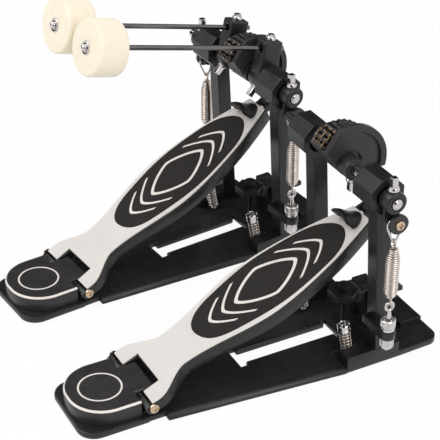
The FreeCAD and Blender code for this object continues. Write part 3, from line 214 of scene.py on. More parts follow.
finishes = {
    "blackCast": {"Light": tint(36, 34, 35), "Dark": tint(30, 28, 29), "Grain": 1500, "Patches": 55,
                  "Smooth": 0.24, "Rough": 0.36, "Depth": 0.00002, "Specular IOR Level": 0.4},
    "blackPlate": {"Light": tint(44, 42, 43), "Dark": tint(38, 36, 37), "Grain": 1100, "Patches": 45,
                   "Smooth": 0.24, "Rough": 0.36, "Depth": 0.000015, "Specular IOR Level": 0.35},
    "blackMoulded": {"Light": tint(53, 51, 52), "Dark": tint(46, 44, 45), "Grain": 2200, "Patches": 60,
                     "Smooth": 0.28, "Rough": 0.4, "Depth": 0.00001, "Specular IOR Level": 0.3},
    "gripRubber": {"Light": tint(50, 47, 46), "Dark": tint(43, 40, 40), "Grain": 1700, "Patches": 70,
                   "Smooth": 0.62, "Rough": 0.8, "Depth": 0.00004, "Specular IOR Level": 0.1},
    "stopRubber": {"Light": tint(31, 29, 30), "Dark": tint(25, 23, 24), "Grain": 1800, "Patches": 90,
                   "Smooth": 0.32, "Rough": 0.48, "Depth": 0.00003, "Specular IOR Level": 0.18},
    "satinSilver": {"Light": tint(227, 222, 217), "Dark": tint(220, 215, 210), "Grain": 2600, "Patches": 30,
                    "Stretch": (1, 0.12, 0.12), "Smooth": 0.5, "Rough": 0.6, "Depth": 0.000006,
                    "Metallic": 0.1, "Specular IOR Level": 0.35},
    "whiteLine": {"Light": tint(238, 231, 226), "Dark": tint(228, 220, 214), "Grain": 1500, "Patches": 80,
                  "Smooth": 0.4, "Rough": 0.55, "Depth": 0.00001},
    "chrome": {"Light": tint(206, 203, 202), "Dark": tint(192, 189, 188), "Grain": 900, "Patches": 60,
               "Smooth": 0.06, "Rough": 0.12, "Depth": 0.0000005, "Metallic": 1.0},
    "rodSteel": {"Light": tint(120, 117, 116), "Dark": tint(104, 101, 100), "Grain": 900, "Patches": 60,
                 "Smooth": 0.1, "Rough": 0.2, "Depth": 0.000001, "Metallic": 1.0},
    "springSteel": {"Light": tint(214, 204, 196), "Dark": tint(192, 181, 172), "Grain": 1600, "Patches": 200,
                    "Smooth": 0.12, "Rough": 0.2, "Depth": 0.000002, "Metallic": 1.0},
    "satinNickel": {"Light": tint(214, 212, 211), "Dark": tint(198, 195, 193), "Grain": 1800, "Patches": 90,
                    "Stretch": (1, 1, 0.1), "Smooth": 0.2, "Rough": 0.3, "Depth": 0.000003, "Metallic": 1.0},
    "chainBlack": {"Light": tint(46, 45, 48), "Dark": tint(30, 29, 31), "Grain": 1500, "Patches": 240,
                   "Smooth": 0.25, "Rough": 0.42, "Depth": 0.000008, "Specular IOR Level": 0.6},
    # a gold copy of the chain's plates for its last links: painted highlight, not a second metal
    "chainGold": {"Light": tint(178, 156, 128), "Dark": tint(126, 108, 86), "Grain": 1300, "Patches": 240,
                  "Smooth": 0.14, "Rough": 0.26, "Depth": 0.000004, "Metallic": 1.0},
    "brass": {"Light": tint(214, 190, 166), "Dark": tint(184, 160, 136), "Grain": 1400, "Patches": 260,
              "Smooth": 0.16, "Rough": 0.28, "Depth": 0.000002, "Metallic": 1.0},
    "felt": {"Light": tint(253, 244, 225), "Dark": tint(249, 238, 215), "Grain": 1400, "Patches": 120,
             "Smooth": 0.85, "Rough": 0.98, "Depth": 0.00009, "Specular IOR Level": 0.1,
             "Sheen Weight": 0.25, "Sheen Roughness": 0.5},
}
materials = {name: newMaterial(name, finish) for name, finish in finishes.items()}


def dress(name, material):
    cad = nodes[name]
    cad.data.materials.clear()
    cad.data.materials.append(materials[material])


print("pieces")
mergeGap = 0.002  # points of a CAD mesh that lie closer are one
flatFaces = {"area": 12, "gentle": (0.008, 0.45), "share": 0.2}


def bodyOf(name):
    return nodes[name]["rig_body"]


def standsFlat(face):
    # a broad face is flat, unless a neighbour of like size bends gently away from it
    area = face.calc_area()
    if area < flatFaces["area"] * mm * mm:
        return False
    least, most = flatFaces["gentle"]
    for edge in face.edges:
        if len(edge.link_faces) == 2 and least < edge.calc_face_angle(0) < most:
            neighbour = max(other.calc_area() for other in edge.link_faces if other != face)
            if neighbour > flatFaces["share"] * area:
                return False
    return True


def shadeByAngle(mesh, degrees):
    # smooth faces with sharp edges kept where two faces meet at more than the angle
    form = bmesh.new()
    form.from_mesh(mesh)
    limit = math.radians(degrees)
    for face in form.faces:
        face.smooth = not standsFlat(face)
    for edge in form.edges:
        if len(edge.link_faces) == 2:
            edge.smooth = edge.calc_face_angle(0) < limit
    form.to_mesh(mesh)
    form.free()


def newObject(name, data):
    made = bpy.data.objects.new(name, data)
    bpy.context.scene.collection.objects.link(made)
    return made


def finishPiece(mesh, name, body, material, replaced=(), angle=35):
    piece = newObject(name, mesh)
    mesh.materials.clear()
    mesh.materials.append(materials[material])
    shadeByAngle(mesh, angle)
    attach(piece, body)
    if replaced:
        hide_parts(*replaced)
    return piece


def settle(piece):
    # the mesh that an object's modifiers give; the object itself goes
    bpy.context.view_layer.update()
    mesh = bpy.data.meshes.new_from_object(piece.evaluated_get(bpy.context.evaluated_depsgraph_get()))
    bpy.data.objects.remove(piece)
    return mesh


def cadForm(name):
    # a CAD node's mesh with its loose triangles joined
    form = bmesh.new()
    form.from_mesh(nodes[name].data)
    bmesh.ops.remove_doubles(form, verts=form.verts, dist=mergeGap * mm)
    return form


def softMesh(name, edge, steps=2, sharp=32, flat=0.4):
    # a CAD node's own form with its outer edges rounded, as castings and pressings have them
    form = cadForm(name)
    bmesh.ops.dissolve_limit(form, angle_limit=math.radians(flat), verts=form.verts, edges=form.edges)
    rounding = form.edges.layers.float.new("bevel_weight_edge")
    for line in form.edges:
        if len(line.link_faces) == 2 and line.is_convex and line.calc_face_angle(0) > math.radians(sharp):
            line[rounding] = 1
    mesh = bpy.data.meshes.new(name + "Form")
    form.to_mesh(mesh)
    form.free()
    piece = newObject(name + "Form", mesh)
    bevel = piece.modifiers.new("round", "BEVEL")
    bevel.width = edge * mm
    bevel.segments = steps
    bevel.limit_method = "WEIGHT"
    bevel.use_clamp_overlap = False
    bevel.miter_outer = "MITER_ARC"
    return settle(piece)


def soften(name, material, edge, steps=2):
    return finishPiece(softMesh(name, edge, steps), name + "_soft", bodyOf(name), material, [name])


def meshOf(form, name):
    bmesh.ops.recalc_face_normals(form, faces=form.faces)
    mesh = bpy.data.meshes.new(name)
    form.to_mesh(mesh)
    form.free()
    return mesh


def ringOf(form, radius, height, around):
    reach = radius * mm
    angles = [2 * math.pi * i / around for i in range(around)]
    return [form.verts.new((reach * math.cos(a), reach * math.sin(a), height * mm)) for a in angles]


def walls(form, rings):
    # faces between each ring of points and the next; a ring of one point is a tip
    for low, high in zip(rings, rings[1:]):
        count = max(len(low), len(high))
        for i in range(count):
            j = (i + 1) % count
            corners = (low[i % len(low)], low[j % len(low)], high[j % len(high)], high[i % len(high)])
            corners = list(dict.fromkeys(corners))
            if len(corners) > 2:
                form.faces.new(corners)


def capped(form, rings, name):
    walls(form, rings)
    for ring in (rings[0], rings[-1]):
        if len(ring) > 1:
            form.faces.new(ring)
    return meshOf(form, name)


def lathe(profile, around=64):
    # a closed turned form: profile holds (radius, height) pairs, from one end to the other
    form = bmesh.new()
    rings = []
    for radius, height in profile:
        if radius:
            rings.append(ringOf(form, radius, height, around))
        else:
            rings.append([form.verts.new((0, 0, height * mm))])
    return capped(form, rings, "turned")


def barMesh(radius, low, high, around, edge=0.4):
    # a turned bar with chamfered ends
    inner = radius - edge
    return lathe([(inner, low), (radius, low + edge), (radius, high - edge), (inner, high)], around)


def band(outer, inner, low, high, closed=True, drop=0):
    # a flat strip between two lines of (x, y) points, from low to high; its outer line may drop
    form = bmesh.new()
    rows = []
    for line, height in ((outer, low - drop), (outer, high - drop), (inner, high), (inner, low)):
        rows.append([form.verts.new((x * mm, y * mm, height * mm)) for x, y in line])
    count = len(outer)
    for i in range(count if closed else count - 1):
        j = (i + 1) % count
        for a, b in ((0, 1), (1, 2), (2, 3), (3, 0)):
            form.faces.new((rows[a][i], rows[a][j], rows[b][j], rows[b][i]))
    if not closed:
        form.faces.new([row[0] for row in rows])
        form.faces.new([row[-1] for row in reversed(rows)])
    return meshOf(form, "band")


def wire(path, radius, around=10):
    # round wire along a line of points
    form = bmesh.new()
    rings = []
    side = None
    for i, point in enumerate(path):
        ahead = (path[min(i + 1, len(path) - 1)] - path[max(i - 1, 0)]).normalized()
        if side is None:
            side = ahead.orthogonal()
        side = (side - ahead * side.dot(ahead)).normalized()
        other = ahead.cross(side)
        ring = []
        for k in range(around):
            angle = 2 * math.pi * k / around
            outward = side * math.cos(angle) + other * math.sin(angle)
            ring.append(form.verts.new((point + outward * radius) * mm))
        rings.append(ring)
    return capped(form, rings, "wire")


def block(half, low, high, edge):
    # a square bar with rounded edges, standing on height low
    form = bmesh.new()
    bmesh.ops.create_cube(form, size=1)
    bmesh.ops.scale(form, vec=(2 * half * mm, 2 * half * mm, (high - low) * mm), verts=form.verts)
    bmesh.ops.translate(form, vec=(0, 0, (low + high) / 2 * mm), verts=form.verts)
    bmesh.ops.bevel(form, geom=form.edges[:], offset=edge * mm, segments=2, profile=0.5, affect="EDGES")
    return meshOf(form, "block")


def crossScrew(radius, height, arm=0.58, slit=0.15, depth=1.2):
    # a screw head with a rounded rim and a cross recess, standing on height 0
    form = bmesh.new()
    around = 48
    rim = ((1, 0), (1, 0.5), (0.94, 0.82), (0.8, 1))
    rings = [ringOf(form, radius * share, height * level, around) for share, level in rim]
    walls(form, rings)
    form.faces.new(rings[0])
    a, s = arm * radius, slit * radius
    corners = [(s, a), (s, s), (a, s), (a, -s), (s, -s), (s, -a),
               (-s, -a), (-s, -s), (-a, -s), (-a, s), (-s, s), (-s, a)]
    upper = [form.verts.new((x * mm, y * mm, height * mm)) for x, y in corners]
    lower = [form.verts.new((x * mm, y * mm, (height - depth) * mm)) for x, y in corners]
    border = []
    for i in range(len(corners)):
        j = (i + 1) % len(corners)
        form.faces.new((upper[i], upper[j], lower[j], lower[i]))
        border.append(form.edges.get((upper[i], upper[j])))
    for i in range(around):
        border.append(form.edges.get((rings[-1][i], rings[-1][(i + 1) % around])))
    bmesh.ops.triangle_fill(form, use_beauty=True, edges=border)
    form.faces.new(lower)
    return meshOf(form, "crossScrew")


def repeatGroup():
    # copies of one template at each point, turned by the point's own angles
    group = bpy.data.node_groups.new("repeatOnPoints", "GeometryNodeTree")
    inputs = {"Points": "NodeSocketGeometry", "Template": "NodeSocketObject", "Finish": "NodeSocketMaterial"}
    for label, kind in inputs.items():
        group.interface.new_socket(name=label, in_out="INPUT", socket_type=kind)
    group.interface.new_socket(name="Result", in_out="OUTPUT", socket_type="NodeSocketGeometry")
    given = addNode(group, "NodeGroupInput")
    result = addNode(group, "NodeGroupOutput")
    facing = addNode(group, "GeometryNodeInputNamedAttribute", data_type="FLOAT_VECTOR", Name="facing")
    turned = addNode(group, "FunctionNodeEulerToRotation")
    source = addNode(group, "GeometryNodeObjectInfo")
    spread = addNode(group, "GeometryNodeInstanceOnPoints")
    real = addNode(group, "GeometryNodeRealizeInstances")
    paint = addNode(group, "GeometryNodeSetMaterial")
    link = group.links.new
    link(given.outputs["Points"], spread.inputs["Points"])
    link(given.outputs["Template"], source.inputs["Object"])
    link(source.outputs["Geometry"], spread.inputs["Instance"])
    link(facing.outputs["Attribute"], turned.inputs["Euler"])
    link(turned.outputs["Rotation"], spread.inputs["Rotation"])
    link(spread.outputs["Instances"], real.inputs["Geometry"])
    link(real.outputs["Geometry"], paint.inputs["Geometry"])
    link(given.outputs["Finish"], paint.inputs["Material"])
    link(paint.outputs["Geometry"], result.inputs["Result"])
    return group


repeatOnPoints = repeatGroup()
repeatSockets = {item.name: item.identifier for item in repeatOnPoints.interface.items_tree}


def repeated(template, poses, material):
    points = bpy.data.meshes.new("repeatPoints")
    points.from_pydata([pose.translation for pose in poses], [], [])
    facing = points.attributes.new("facing", "FLOAT_VECTOR", "POINT")
    for i, pose in enumerate(poses):
        facing.data[i].vector = pose.to_euler()
    carrier = newObject("repeatCarrier", points)
    source = newObject("repeatTemplate", template)
    modifier = carrier.modifiers.new("repeat", "NODES")
    modifier.node_group = repeatOnPoints
    modifier[repeatSockets["Template"]] = source
    modifier[repeatSockets["Finish"]] = materials[material]
    mesh = settle(carrier)
    bpy.data.objects.remove(source)
    return mesh


def smooth(share):
    share = min(max(share, 0), 1)
    return share * share * (3 - 2 * share)

def quarter(steps=8):
    # angles from 0 to a right angle
    return [math.pi / 2 * i / steps for i in range(steps + 1)]


def joined(meshes):
    form = bmesh.new()
    for mesh in meshes:
        form.from_mesh(mesh)
    whole = bpy.data.meshes.new("joined")
    form.to_mesh(whole)
    form.free()
    return whole


def placed(mesh, pose):
    moved = mesh.copy()
    moved.transform(pose)
    return moved


print("castings")
castings = {
    "frame": ("blackCast", 0.45), "base_plate": ("blackPlate", 1.6), "heel_block": ("blackMoulded", 0.8),
    "footboard": ("blackCast", 1.4), "footboard_plate": ("satinSilver", 0.4),
    "grip_pad": ("gripRubber", 0.35), "hoop_jaw": ("blackCast", 1.0), "cam": ("blackMoulded", 0.7),
}
turningCastings = {"rocker": ("blackCast", 1.6, 3), "roller": ("blackMoulded", 0.6)}
holderFinish = ("blackCast", 2.2, 3)
for pedalName in pedals:
    for part, finish in castings.items():
        soften(f"{pedalName}_{part}", *finish)
for unit in units:
    for part, finish in turningCastings.items():
        soften(f"{unit}_{part}", *finish)
    dress(unit + "_spring_stirrup", "chrome")
for label in beaters:
    soften(label + "_beater_holder", *holderFinish)
for pedalName in pedals:
    dress(pedalName + "_jaw_screw", "blackCast")
dress("axle_bearings", "chrome")

print("axles")
axleForm = {"end": 87.6, "stub": -71.6, "reach": 200, "cap": [(3.6, -0.5), (3.6, 0.7), (3.1, 1.3), (0, 1.7)]}
dress("second_axle", "chrome")


def axlePart(name, pose, low, high):
    # the part of a CAD axle between two places along its line
    form = cadForm(name)
    form.transform(pose.inverted())
    for place, facing in ((low, -1), (high, 1)):
        everything = form.verts[:] + form.edges[:] + form.faces[:]
        bmesh.ops.bisect_plane(form, geom=everything, plane_co=(place * mm, 0, 0),
                               plane_no=(facing, 0, 0), clear_outer=True)
        rim = [line for line in form.edges if line.is_boundary]
        if rim:
            bmesh.ops.holes_fill(form, edges=rim, sides=0)
    form.transform(pose)
    return meshOf(form, name + "Part")


axleCap = lathe(axleForm["cap"], 40)
for pedalName, pedal in pedals.items():
    node, pose = pedalName + "_axle", axlePose(pedal)
    shaft = axlePart(node, pose, axleForm["stub"], axleForm["end"])
    tip = placed(axleCap, pose @ shift(axleForm["end"], 0, 0) @ turn(90, "Y"))
    finishPiece(joined([shaft, tip]), pedalName + "Shaft", bodyOf(node), "chrome", [node])
stubEnd = axlePart("slave_axle", axlePose(pedals["slave"]), -axleForm["reach"], axleForm["stub"])
finishPiece(stubEnd, "slaveShaftEnd", bodyOf("slave_axle"), "blackCast")

print("chains")
# the count of end links that take the painted gold highlight is the last entry of this table
chainForm = {"radius": 31.5, "pitch": 6, "perGroup": 3, "turn": 124, "flatAngle": 146, "flatAt": 29.2,
             "seated": 2, "pinAt": 278, "pinUnder": 6, "clear": 9.3, "highlightLinks": 3}
rollerForm = {"radius": 2.6, "starts": (-6.1, 2.2), "long": 3.9, "pin": 1.3, "pinHalf": 9.5}
eyeForm = {"outer": 5.2, "slot": 3.0, "half": 4.2, "travel": 5, "sink": {"main": 1.63, "slave": 2.39},
           "strip": 5.4, "lap": 1, "bolt": 1.6, "boltHalf": 6.6}
linkForm = {"end": 2.5, "waist": 1.75, "thick": 1.3, "outer": (-8.35, 0, 8.35),
            "inner": (-6.9, -1.45, 1.45, 6.9)}


def chainPoints(pedal):
    # roller centres seen along the axle, from the footboard's end of the chain to the cam's
    radius, pitch, count = chainForm["radius"], chainForm["pitch"], chainForm["perGroup"]
    tilt = math.radians(pedal["tilt"])
    along, under = chainForm["pinAt"], chainForm["pinUnder"]
    y = -hinge["back"] + along * math.cos(tilt) + under * math.sin(tilt)
    z = hinge["height"] + along * math.sin(tilt) - under * math.cos(tilt) - axleHeight
    start = math.atan2(z, y) + math.acos(radius / math.hypot(y, z))
    step = pitch / radius

    def onCam(angle):
        return Vector((0, radius * math.cos(angle), radius * math.sin(angle)))

    pin, leave = Vector((0, y, z)), onCam(start)
    free = (pin - leave).length
    down = (pin - leave) / free
    hanging = int((free - chainForm["clear"]) / pitch) + 1
    groups = {
        "run": [leave + down * (i * pitch) for i in reversed(range(hanging))],
        "lower": [onCam(start + (1 + i) * step) for i in range(count)],
        "upper": [onCam(start + (1 + count + i) * step) for i in range(count)],
        "wrap": [],
    }
    angle = start + (1 + 2 * count) * step
    while angle < math.radians(chainForm["turn"]):
        groups["wrap"].append(onCam(angle))
        angle += step
    flat = math.radians(chainForm["flatAngle"])
    outward = Vector((0, math.cos(flat), math.sin(flat)))
    beside = Vector((0, -math.sin(flat), math.cos(flat)))
    wrap = groups["wrap"]
    for i in range(chainForm["seated"]):
        wrap.append(outward * chainForm["flatAt"] + beside * (wrap[-1].dot(beside) + pitch))
    return groups, pin


def linkPlates(places, half):
    # figure-eight side plates that join two pins lying half before and behind the middle
    outline = []
    for centre, first in ((half, -120), (-half, 60)):
        for i in range(13):
            angle = math.radians(first + 240 * i / 12)
            outline.append((centre + linkForm["end"] * math.cos(angle), linkForm["end"] * math.sin(angle)))
        outline.append((0, linkForm["waist"] if centre > 0 else -linkForm["waist"]))
    form = bmesh.new()
    count = len(outline)
    for x in places:
        rows = []
        for side in (-0.5, 0.5):
            level = (x + side * linkForm["thick"]) * mm
            rows.append([form.verts.new((level, y * mm, z * mm)) for y, z in outline])
        for row in rows:
            form.faces.new(row)
        for i in range(count):
            j = (i + 1) % count
            form.faces.new((rows[0][i], rows[0][j], rows[1][j], rows[1][i]))
    return meshOf(form, "linkPlates")


def rollerPair():
    bars = [barMesh(rollerForm["radius"], low, low + rollerForm["long"], 20) for low in rollerForm["starts"]]
    bars.append(barMesh(rollerForm["pin"], -rollerForm["pinHalf"], rollerForm["pinHalf"], 14))
    return joined([placed(bar, turn(90, "Y")) for bar in bars])


templates = {
    "outer": linkPlates(linkForm["outer"], chainForm["pitch"] / 2),
    "inner": linkPlates(linkForm["inner"], chainForm["pitch"] / 2),
    "roller": rollerPair(),
}
facingAlong = Matrix(((0, 0, 1, 0), (1, 0, 0, 0), (0, 1, 0, 0), (0, 0, 0, 1)))


def linkPose(first, second):
    run = second - first
    middle = (first + second) / 2
    return shift(*middle) @ turn(math.degrees(math.atan2(run.z, run.y)), "X")


def chainEye(name, pin, last):
    # the slotted eye on the footboard's pin and the two strips that carry it
    heel = pin - Vector((0, eyeForm["travel"], eyeForm["sink"][name]))
    slant = math.degrees(math.atan2(heel.z - pin.z, heel.y - pin.y))
    lines = {"outer": [], "slot": []}
    for key, line in lines.items():
        size = eyeForm[key]
        for centre, first in ((pin, slant + 90), (heel, slant - 90)):
            for i in range(17):
                angle = math.radians(first + 180 * i / 16)
                line.append((centre.y + size * math.cos(angle), centre.z + size * math.sin(angle)))
    ring = placed(band(lines["outer"], lines["slot"], -eyeForm["half"], eyeForm["half"]), facingAlong)
    reach = (pin - last).length
    carried = reach - eyeForm["outer"] + eyeForm["lap"]
    strips = linkPlates((-eyeForm["strip"], eyeForm["strip"]), carried / 2)
    end = last + (pin - last) * (carried / reach)
    bolt = barMesh(eyeForm["bolt"], -eyeForm["boltHalf"], eyeForm["boltHalf"], 20)
    return [ring, placed(strips, linkPose(last, end)), placed(bolt, shift(*end) @ turn(90, "Y"))]


for pedalName, pedal in pedals.items():
    groups, pin = chainPoints(pedal)
    spot = axlePose(pedal) @ shift(pedal["camAt"], 0, 0)
    line = [(point, group) for group in ("run", "lower", "upper", "wrap") for point in groups[group]]
    # the last links of each chain take the gold copy of its plates, a painted highlight at the chain's flat
    # end on the cam
    highlightStart = len(line) - chainForm["highlightLinks"]
    placesOf = {}
    for i, (point, group) in enumerate(line):
        tone = "chainGold" if i >= highlightStart else "chainBlack"
        placesOf.setdefault((group, "chainBlack", "roller"), []).append(shift(*point))
        if i:
            kind = "outer" if i % 2 else "inner"
            placesOf.setdefault((group, tone, kind), []).append(linkPose(line[i - 1][0], point))
    for group in groups:
        for tone in ("chainBlack", "chainGold"):
            meshes = []
            for kind, template in templates.items():
                if (group, tone, kind) in placesOf:
                    meshes.append(repeated(template.copy(), placesOf[group, tone, kind], tone))
            if not meshes:
                continue
            if group == "run":
                meshes += chainEye(pedalName, pin, groups["run"][0])
            node = f"{pedalName}_chain_{group}"
            replaced = [node] if tone == "chainBlack" else []
            finishPiece(placed(joined(meshes), spot), f"{node}_{tone}", bodyOf(node), tone, replaced)

print("screws")
keyForm = {"flange": 5.2, "rise": 4, "neck": 3.2, "half": 2.9, "edge": 0.6, "top": 13, "setTop": 6}
keyPlaces = {"rocker": 80, "seat": 10.5, "cam": 14, "holderTop": 40, "hubTurn": 150, "hubSeat": 9.5}
headForm = {"radius": 4.6, "rollerTall": 2.2, "pivotTall": 2.4, "roller": (86, 5, -23), "pivot": 43.3}


def keyBolt(top):
    # a square key head on a round flange
    flange, rise = keyForm["flange"], keyForm["rise"]
    profile = [(flange - 0.5, 0), (flange, 0.5), (flange, 0.55 * rise), (0.84 * flange, 0.9 * rise),
               (keyForm["neck"], rise)]
    return joined([lathe(profile, 40), block(keyForm["half"], rise - 0.5, top, keyForm["edge"])])


for unit, facts in units.items():
    axle, side, node = axlePose(facts["pedal"]), facts["side"], unit + "_axle_screws"
    poses = [axle @ shift(keyPlaces["rocker"] * side, 0, keyPlaces["seat"])]
    setPoses = []
    for beater in beaters.values():
        if beater["unit"] == unit:
            setPoses.append(rodPose() @ shift(beater["at"], 0, keyPlaces["holderTop"]))
            hub = rodPose() @ shift(beater["at"], 0, 0) @ turn(keyPlaces["hubTurn"], "X")
            poses.append(hub @ shift(0, 0, keyPlaces["hubSeat"]))
    if unit == "slave":
        poses.append(axle @ turn(180, "X") @ shift(keyPlaces["cam"], 0, keyPlaces["seat"]))
    bolts = [repeated(keyBolt(keyForm["top"]), poses, "chrome")]
    if setPoses:
        bolts.append(repeated(keyBolt(keyForm["setTop"]), setPoses, "chrome"))
    finishPiece(joined(bolts), unit + "KeyBolts", bodyOf(node), "chrome", [node])
    right, ahead, up = headForm["roller"]
    spot = axle @ shift(right * side, ahead, up) @ turn(90 * side, "Y")
    head = crossScrew(headForm["radius"], headForm["rollerTall"])
    finishPiece(placed(head, spot), unit + "RollerScrew", bodyOf(node), "brass")
pivotPoses = []
for pedal in pedals.values():
    for side in (1, -1):
        pivot = pedalPose(pedal) @ shift(headForm["pivot"] * side, -hinge["back"], hinge["height"])
        pivotPoses.append(pivot @ turn(90 * side, "Y"))
pivotHeads = repeated(crossScrew(headForm["radius"], headForm["pivotTall"]), pivotPoses, "brass")
finishPiece(pivotHeads, "pivotScrews", "stand", "brass", ["heel_pivot_screws"])

print("springs")
coil = {"at": 79.5, "ahead": 5, "low": 90, "pitch": 2.1, "turns": 23, "radius": 5.45, "end": 4.3, "top": 3.25,
        "tip": 0.8, "wire": 1.03, "eye": 81, "foot": 146.2, "hook": 2.3, "steps": 26, "drop": 5, "lift": 4,
        "flare": 2, "taper": 5}


def springSpot(unit):
    facts = units[unit]
    return pedalPose(facts["pedal"]) @ shift(coil["at"] * facts["side"], coil["ahead"], 0)


def hookPath(height, first, sweep, steps=14):
    angles = [math.radians(first + sweep * i / steps) for i in range(steps + 1)]
    return [Vector((coil["hook"] * math.cos(a), 0, height + coil["hook"] * math.sin(a))) for a in angles]


def coilPath():
    # a hook, the coil with its narrowing ends and a second hook, all one wire
    path = hookPath(coil["eye"], 190, 225)
    steps, turns = coil["steps"], coil["turns"]
    for i in range(-steps, (turns + 1) * steps + 1):
        at = i / steps
        before, within, after = min(at, 0), min(max(at, 0), turns), max(at - turns, 0)
        height = coil["low"] + coil["pitch"] * within + coil["drop"] * before + coil["lift"] * after
        radius = coil["end"] + (coil["radius"] - coil["end"]) * smooth(at / coil["flare"])
        radius -= (coil["radius"] - coil["top"]) * smooth((at - turns + coil["taper"]) / coil["taper"])
        radius += (coil["tip"] - coil["end"]) * smooth(-at) + (coil["tip"] - coil["top"]) * smooth(at - turns)
        angle = 2 * math.pi * at
        path.append(Vector((radius * math.cos(angle), radius * math.sin(angle), height)))
    return path + hookPath(coil["foot"], -60, 270)


springMesh = wire(coilPath(), coil["wire"])
for unit in units:
    spot = springSpot(unit)
    mesh = placed(springMesh, spot)
    spring = newObject(unit + "SpringCoil", mesh)
    mesh.materials.append(materials["springSteel"])
    shadeByAngle(mesh, 60)
    high = coil["low"] + coil["pitch"] * coil["turns"]
    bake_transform(spring)
    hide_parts(unit + "_spring")

print("tension nuts")
nutForm = {"low": 51.3, "high": 63.3, "radius": 6.6, "bore": 2.6, "ridges": 30}
barrelForm = {"low": 32, "high": 43, "radius": 6.3, "bore": 2.4, "ridges": 40}
eyeBolt = {"eye": 77, "ring": 4, "wire": 1.5, "rod": 2.4, "low": 29}


def ridge(reach, rise, width, low, high):
    # one tooth of a knurl, standing out from the radius
    form = bmesh.new()
    foot = reach - 0.3
    rows = []
    for level, inset in ((low, 0), (low + rise, 1), (high - rise, 1), (high, 0)):
        points = ((foot, -width), (reach + rise * inset, 0), (foot, width))
        rows.append([form.verts.new((x * mm, y * mm, level * mm)) for x, y in points])
    return capped(form, rows, "ridge")


def knurl(count, tooth):
    return repeated(tooth, [turn(360 * i / count, "Z") for i in range(count)], "satinNickel")


def nutMesh():
    # a collar, a groove, a knurled body and an open cup
    low, high, radius, bore, ridges = nutForm.values()
    profile = [
        (bore, low), (radius - 0.8, low), (radius - 0.1, low + 0.7), (radius - 0.1, low + 3),
        (radius - 0.9, low + 3.4), (radius - 0.9, low + 4), (radius, low + 4.4), (radius, high - 0.6),
        (radius - 0.6, high), (4.9, high), (4.6, high - 0.5), (4.4, high - 4), (bore, high - 4.2),
    ]
    return joined([lathe(profile, 60), knurl(ridges, ridge(radius, 0.45, 0.6, low + 4.5, high - 0.7))])


def barrelMesh():
    # a round foot under a finely knurled barrel
    low, high, radius, bore, ridges = barrelForm.values()
    profile = [(0, low), (radius - 1.6, low), (radius - 0.3, low + 1), (radius, low + 1.6),
               (radius, high - 0.4), (radius - 0.4, high), (bore, high)]
    return joined([lathe(profile, 60), knurl(ridges, ridge(radius, 0.2, 0.35, low + 2, high - 0.8))])


def eyeBoltMesh():
    # a wire ring on a rod that narrows to meet it
    eye, ring, thick, rod, low = eyeBolt.values()
    angles = [2 * math.pi * i / 48 for i in range(49)]
    path = [Vector((0, ring * math.sin(a), eye + ring * math.cos(a))) for a in angles]
    profile = [(0, low), (rod - 0.5, low), (rod, low + 0.5), (rod, 68), (2.0, 70.5), (1.7, 72), (1.5, 73.4),
               (0, 73.6)]
    return joined([wire(path, thick, 14), lathe(profile, 32)])


spots = [springSpot(unit) for unit in units]
nut, barrel, bolt = nutMesh(), barrelMesh(), eyeBoltMesh()
for unit, spot in zip(units, spots):
    finishPiece(placed(nut, spot), unit + "KnurledNut", unit + "_nut", "satinNickel", [unit + "_tension_nut"])
finishPiece(joined([placed(bolt, spot) for spot in spots]), "eyeBolts", "stand", "chrome", ["tension_rods"])
finishPiece(joined([placed(barrel, spot) for spot in spots]), "barrelNuts", "stand", "satinNickel")

print("spurs")
spurForm = {"at": 41, "back": 11, "lean": 10, "shank": 3, "head": 6, "neck": 33, "top": 42, "socket": 3.4,
            "thread": 0.35, "pitch": 0.96}
spurCoil = {"radius": 4.75, "wire": 0.85, "low": 9.4, "high": 31.2, "turns": 6.5, "steps": 26, "ease": 0.25}


def spurMesh():
    # a point, a threaded shank and a head with a key socket
    shank, head, neck, top, socket = (spurForm[key] for key in ("shank", "head", "neck", "top", "socket"))
    profile = [(0, 1), (0.5, 1), (shank, 4)]
    level = 5
    while level < neck - 1:
        profile += [(shank - spurForm["thread"], level + 0.3), (shank, level + 0.6)]
        level += spurForm["pitch"]
    profile += [(head - 0.8, neck), (head, neck + 0.6), (head, neck + 2.6), (head - 0.5, neck + 3),
                (head - 0.5, neck + 3.5), (head, neck + 4), (head, top - 0.8), (head - 0.7, top)]
    profile += [(socket + 0.5, top), (socket, top - 0.5), (socket, top - 4.5), (0, top - 4.8)]
    return lathe(profile, 40)


def spurCoilPath():
    path = []
    reach, turns, steps = spurCoil["radius"], spurCoil["turns"], spurCoil["steps"]
    for i in range(int(turns * steps) + 1):
        at = i / steps
        share = smooth(at / turns) * spurCoil["ease"] + at / turns * (1 - spurCoil["ease"])
        height = spurCoil["low"] + (spurCoil["high"] - spurCoil["low"]) * share
        angle = 2 * math.pi * at
        path.append(Vector((reach * math.cos(angle), reach * math.sin(angle), height)))
    return path


spurSpots = []
for pedal in pedals.values():
    for side in (1, -1):
        foot = pedalPose(pedal) @ shift(spurForm["at"] * side, -spurForm["back"], 0)
        spurSpots.append(foot @ turn(spurForm["lean"], "X"))
finishPiece(repeated(spurMesh(), spurSpots, "chrome"), "spurBolts", "stand", "chrome", ["spur_bolts"])
spurCoils = repeated(wire(spurCoilPath(), spurCoil["wire"]), spurSpots, "springSteel")
finishPiece(spurCoils, "spurCoils", "stand", "springSteel", ["spur_springs"], 60)

print("beaters")
feltForm = {"rear": 180, "length": 31, "radius": 27, "edge": 3.2, "rod": 31, "hole": 4, "layers": (9, 19),
            "groove": 0.35, "seam": 0.5, "belly": 0.25, "crown": 0.35, "fuzz": 0.1,
            "tufts": ((0.9, 0.6), (2.3, 0.4))}
rodForm = {"front": 18, "bore": 3.1, "radius": 2.55, "washer": 6.6, "dome": 3.6}


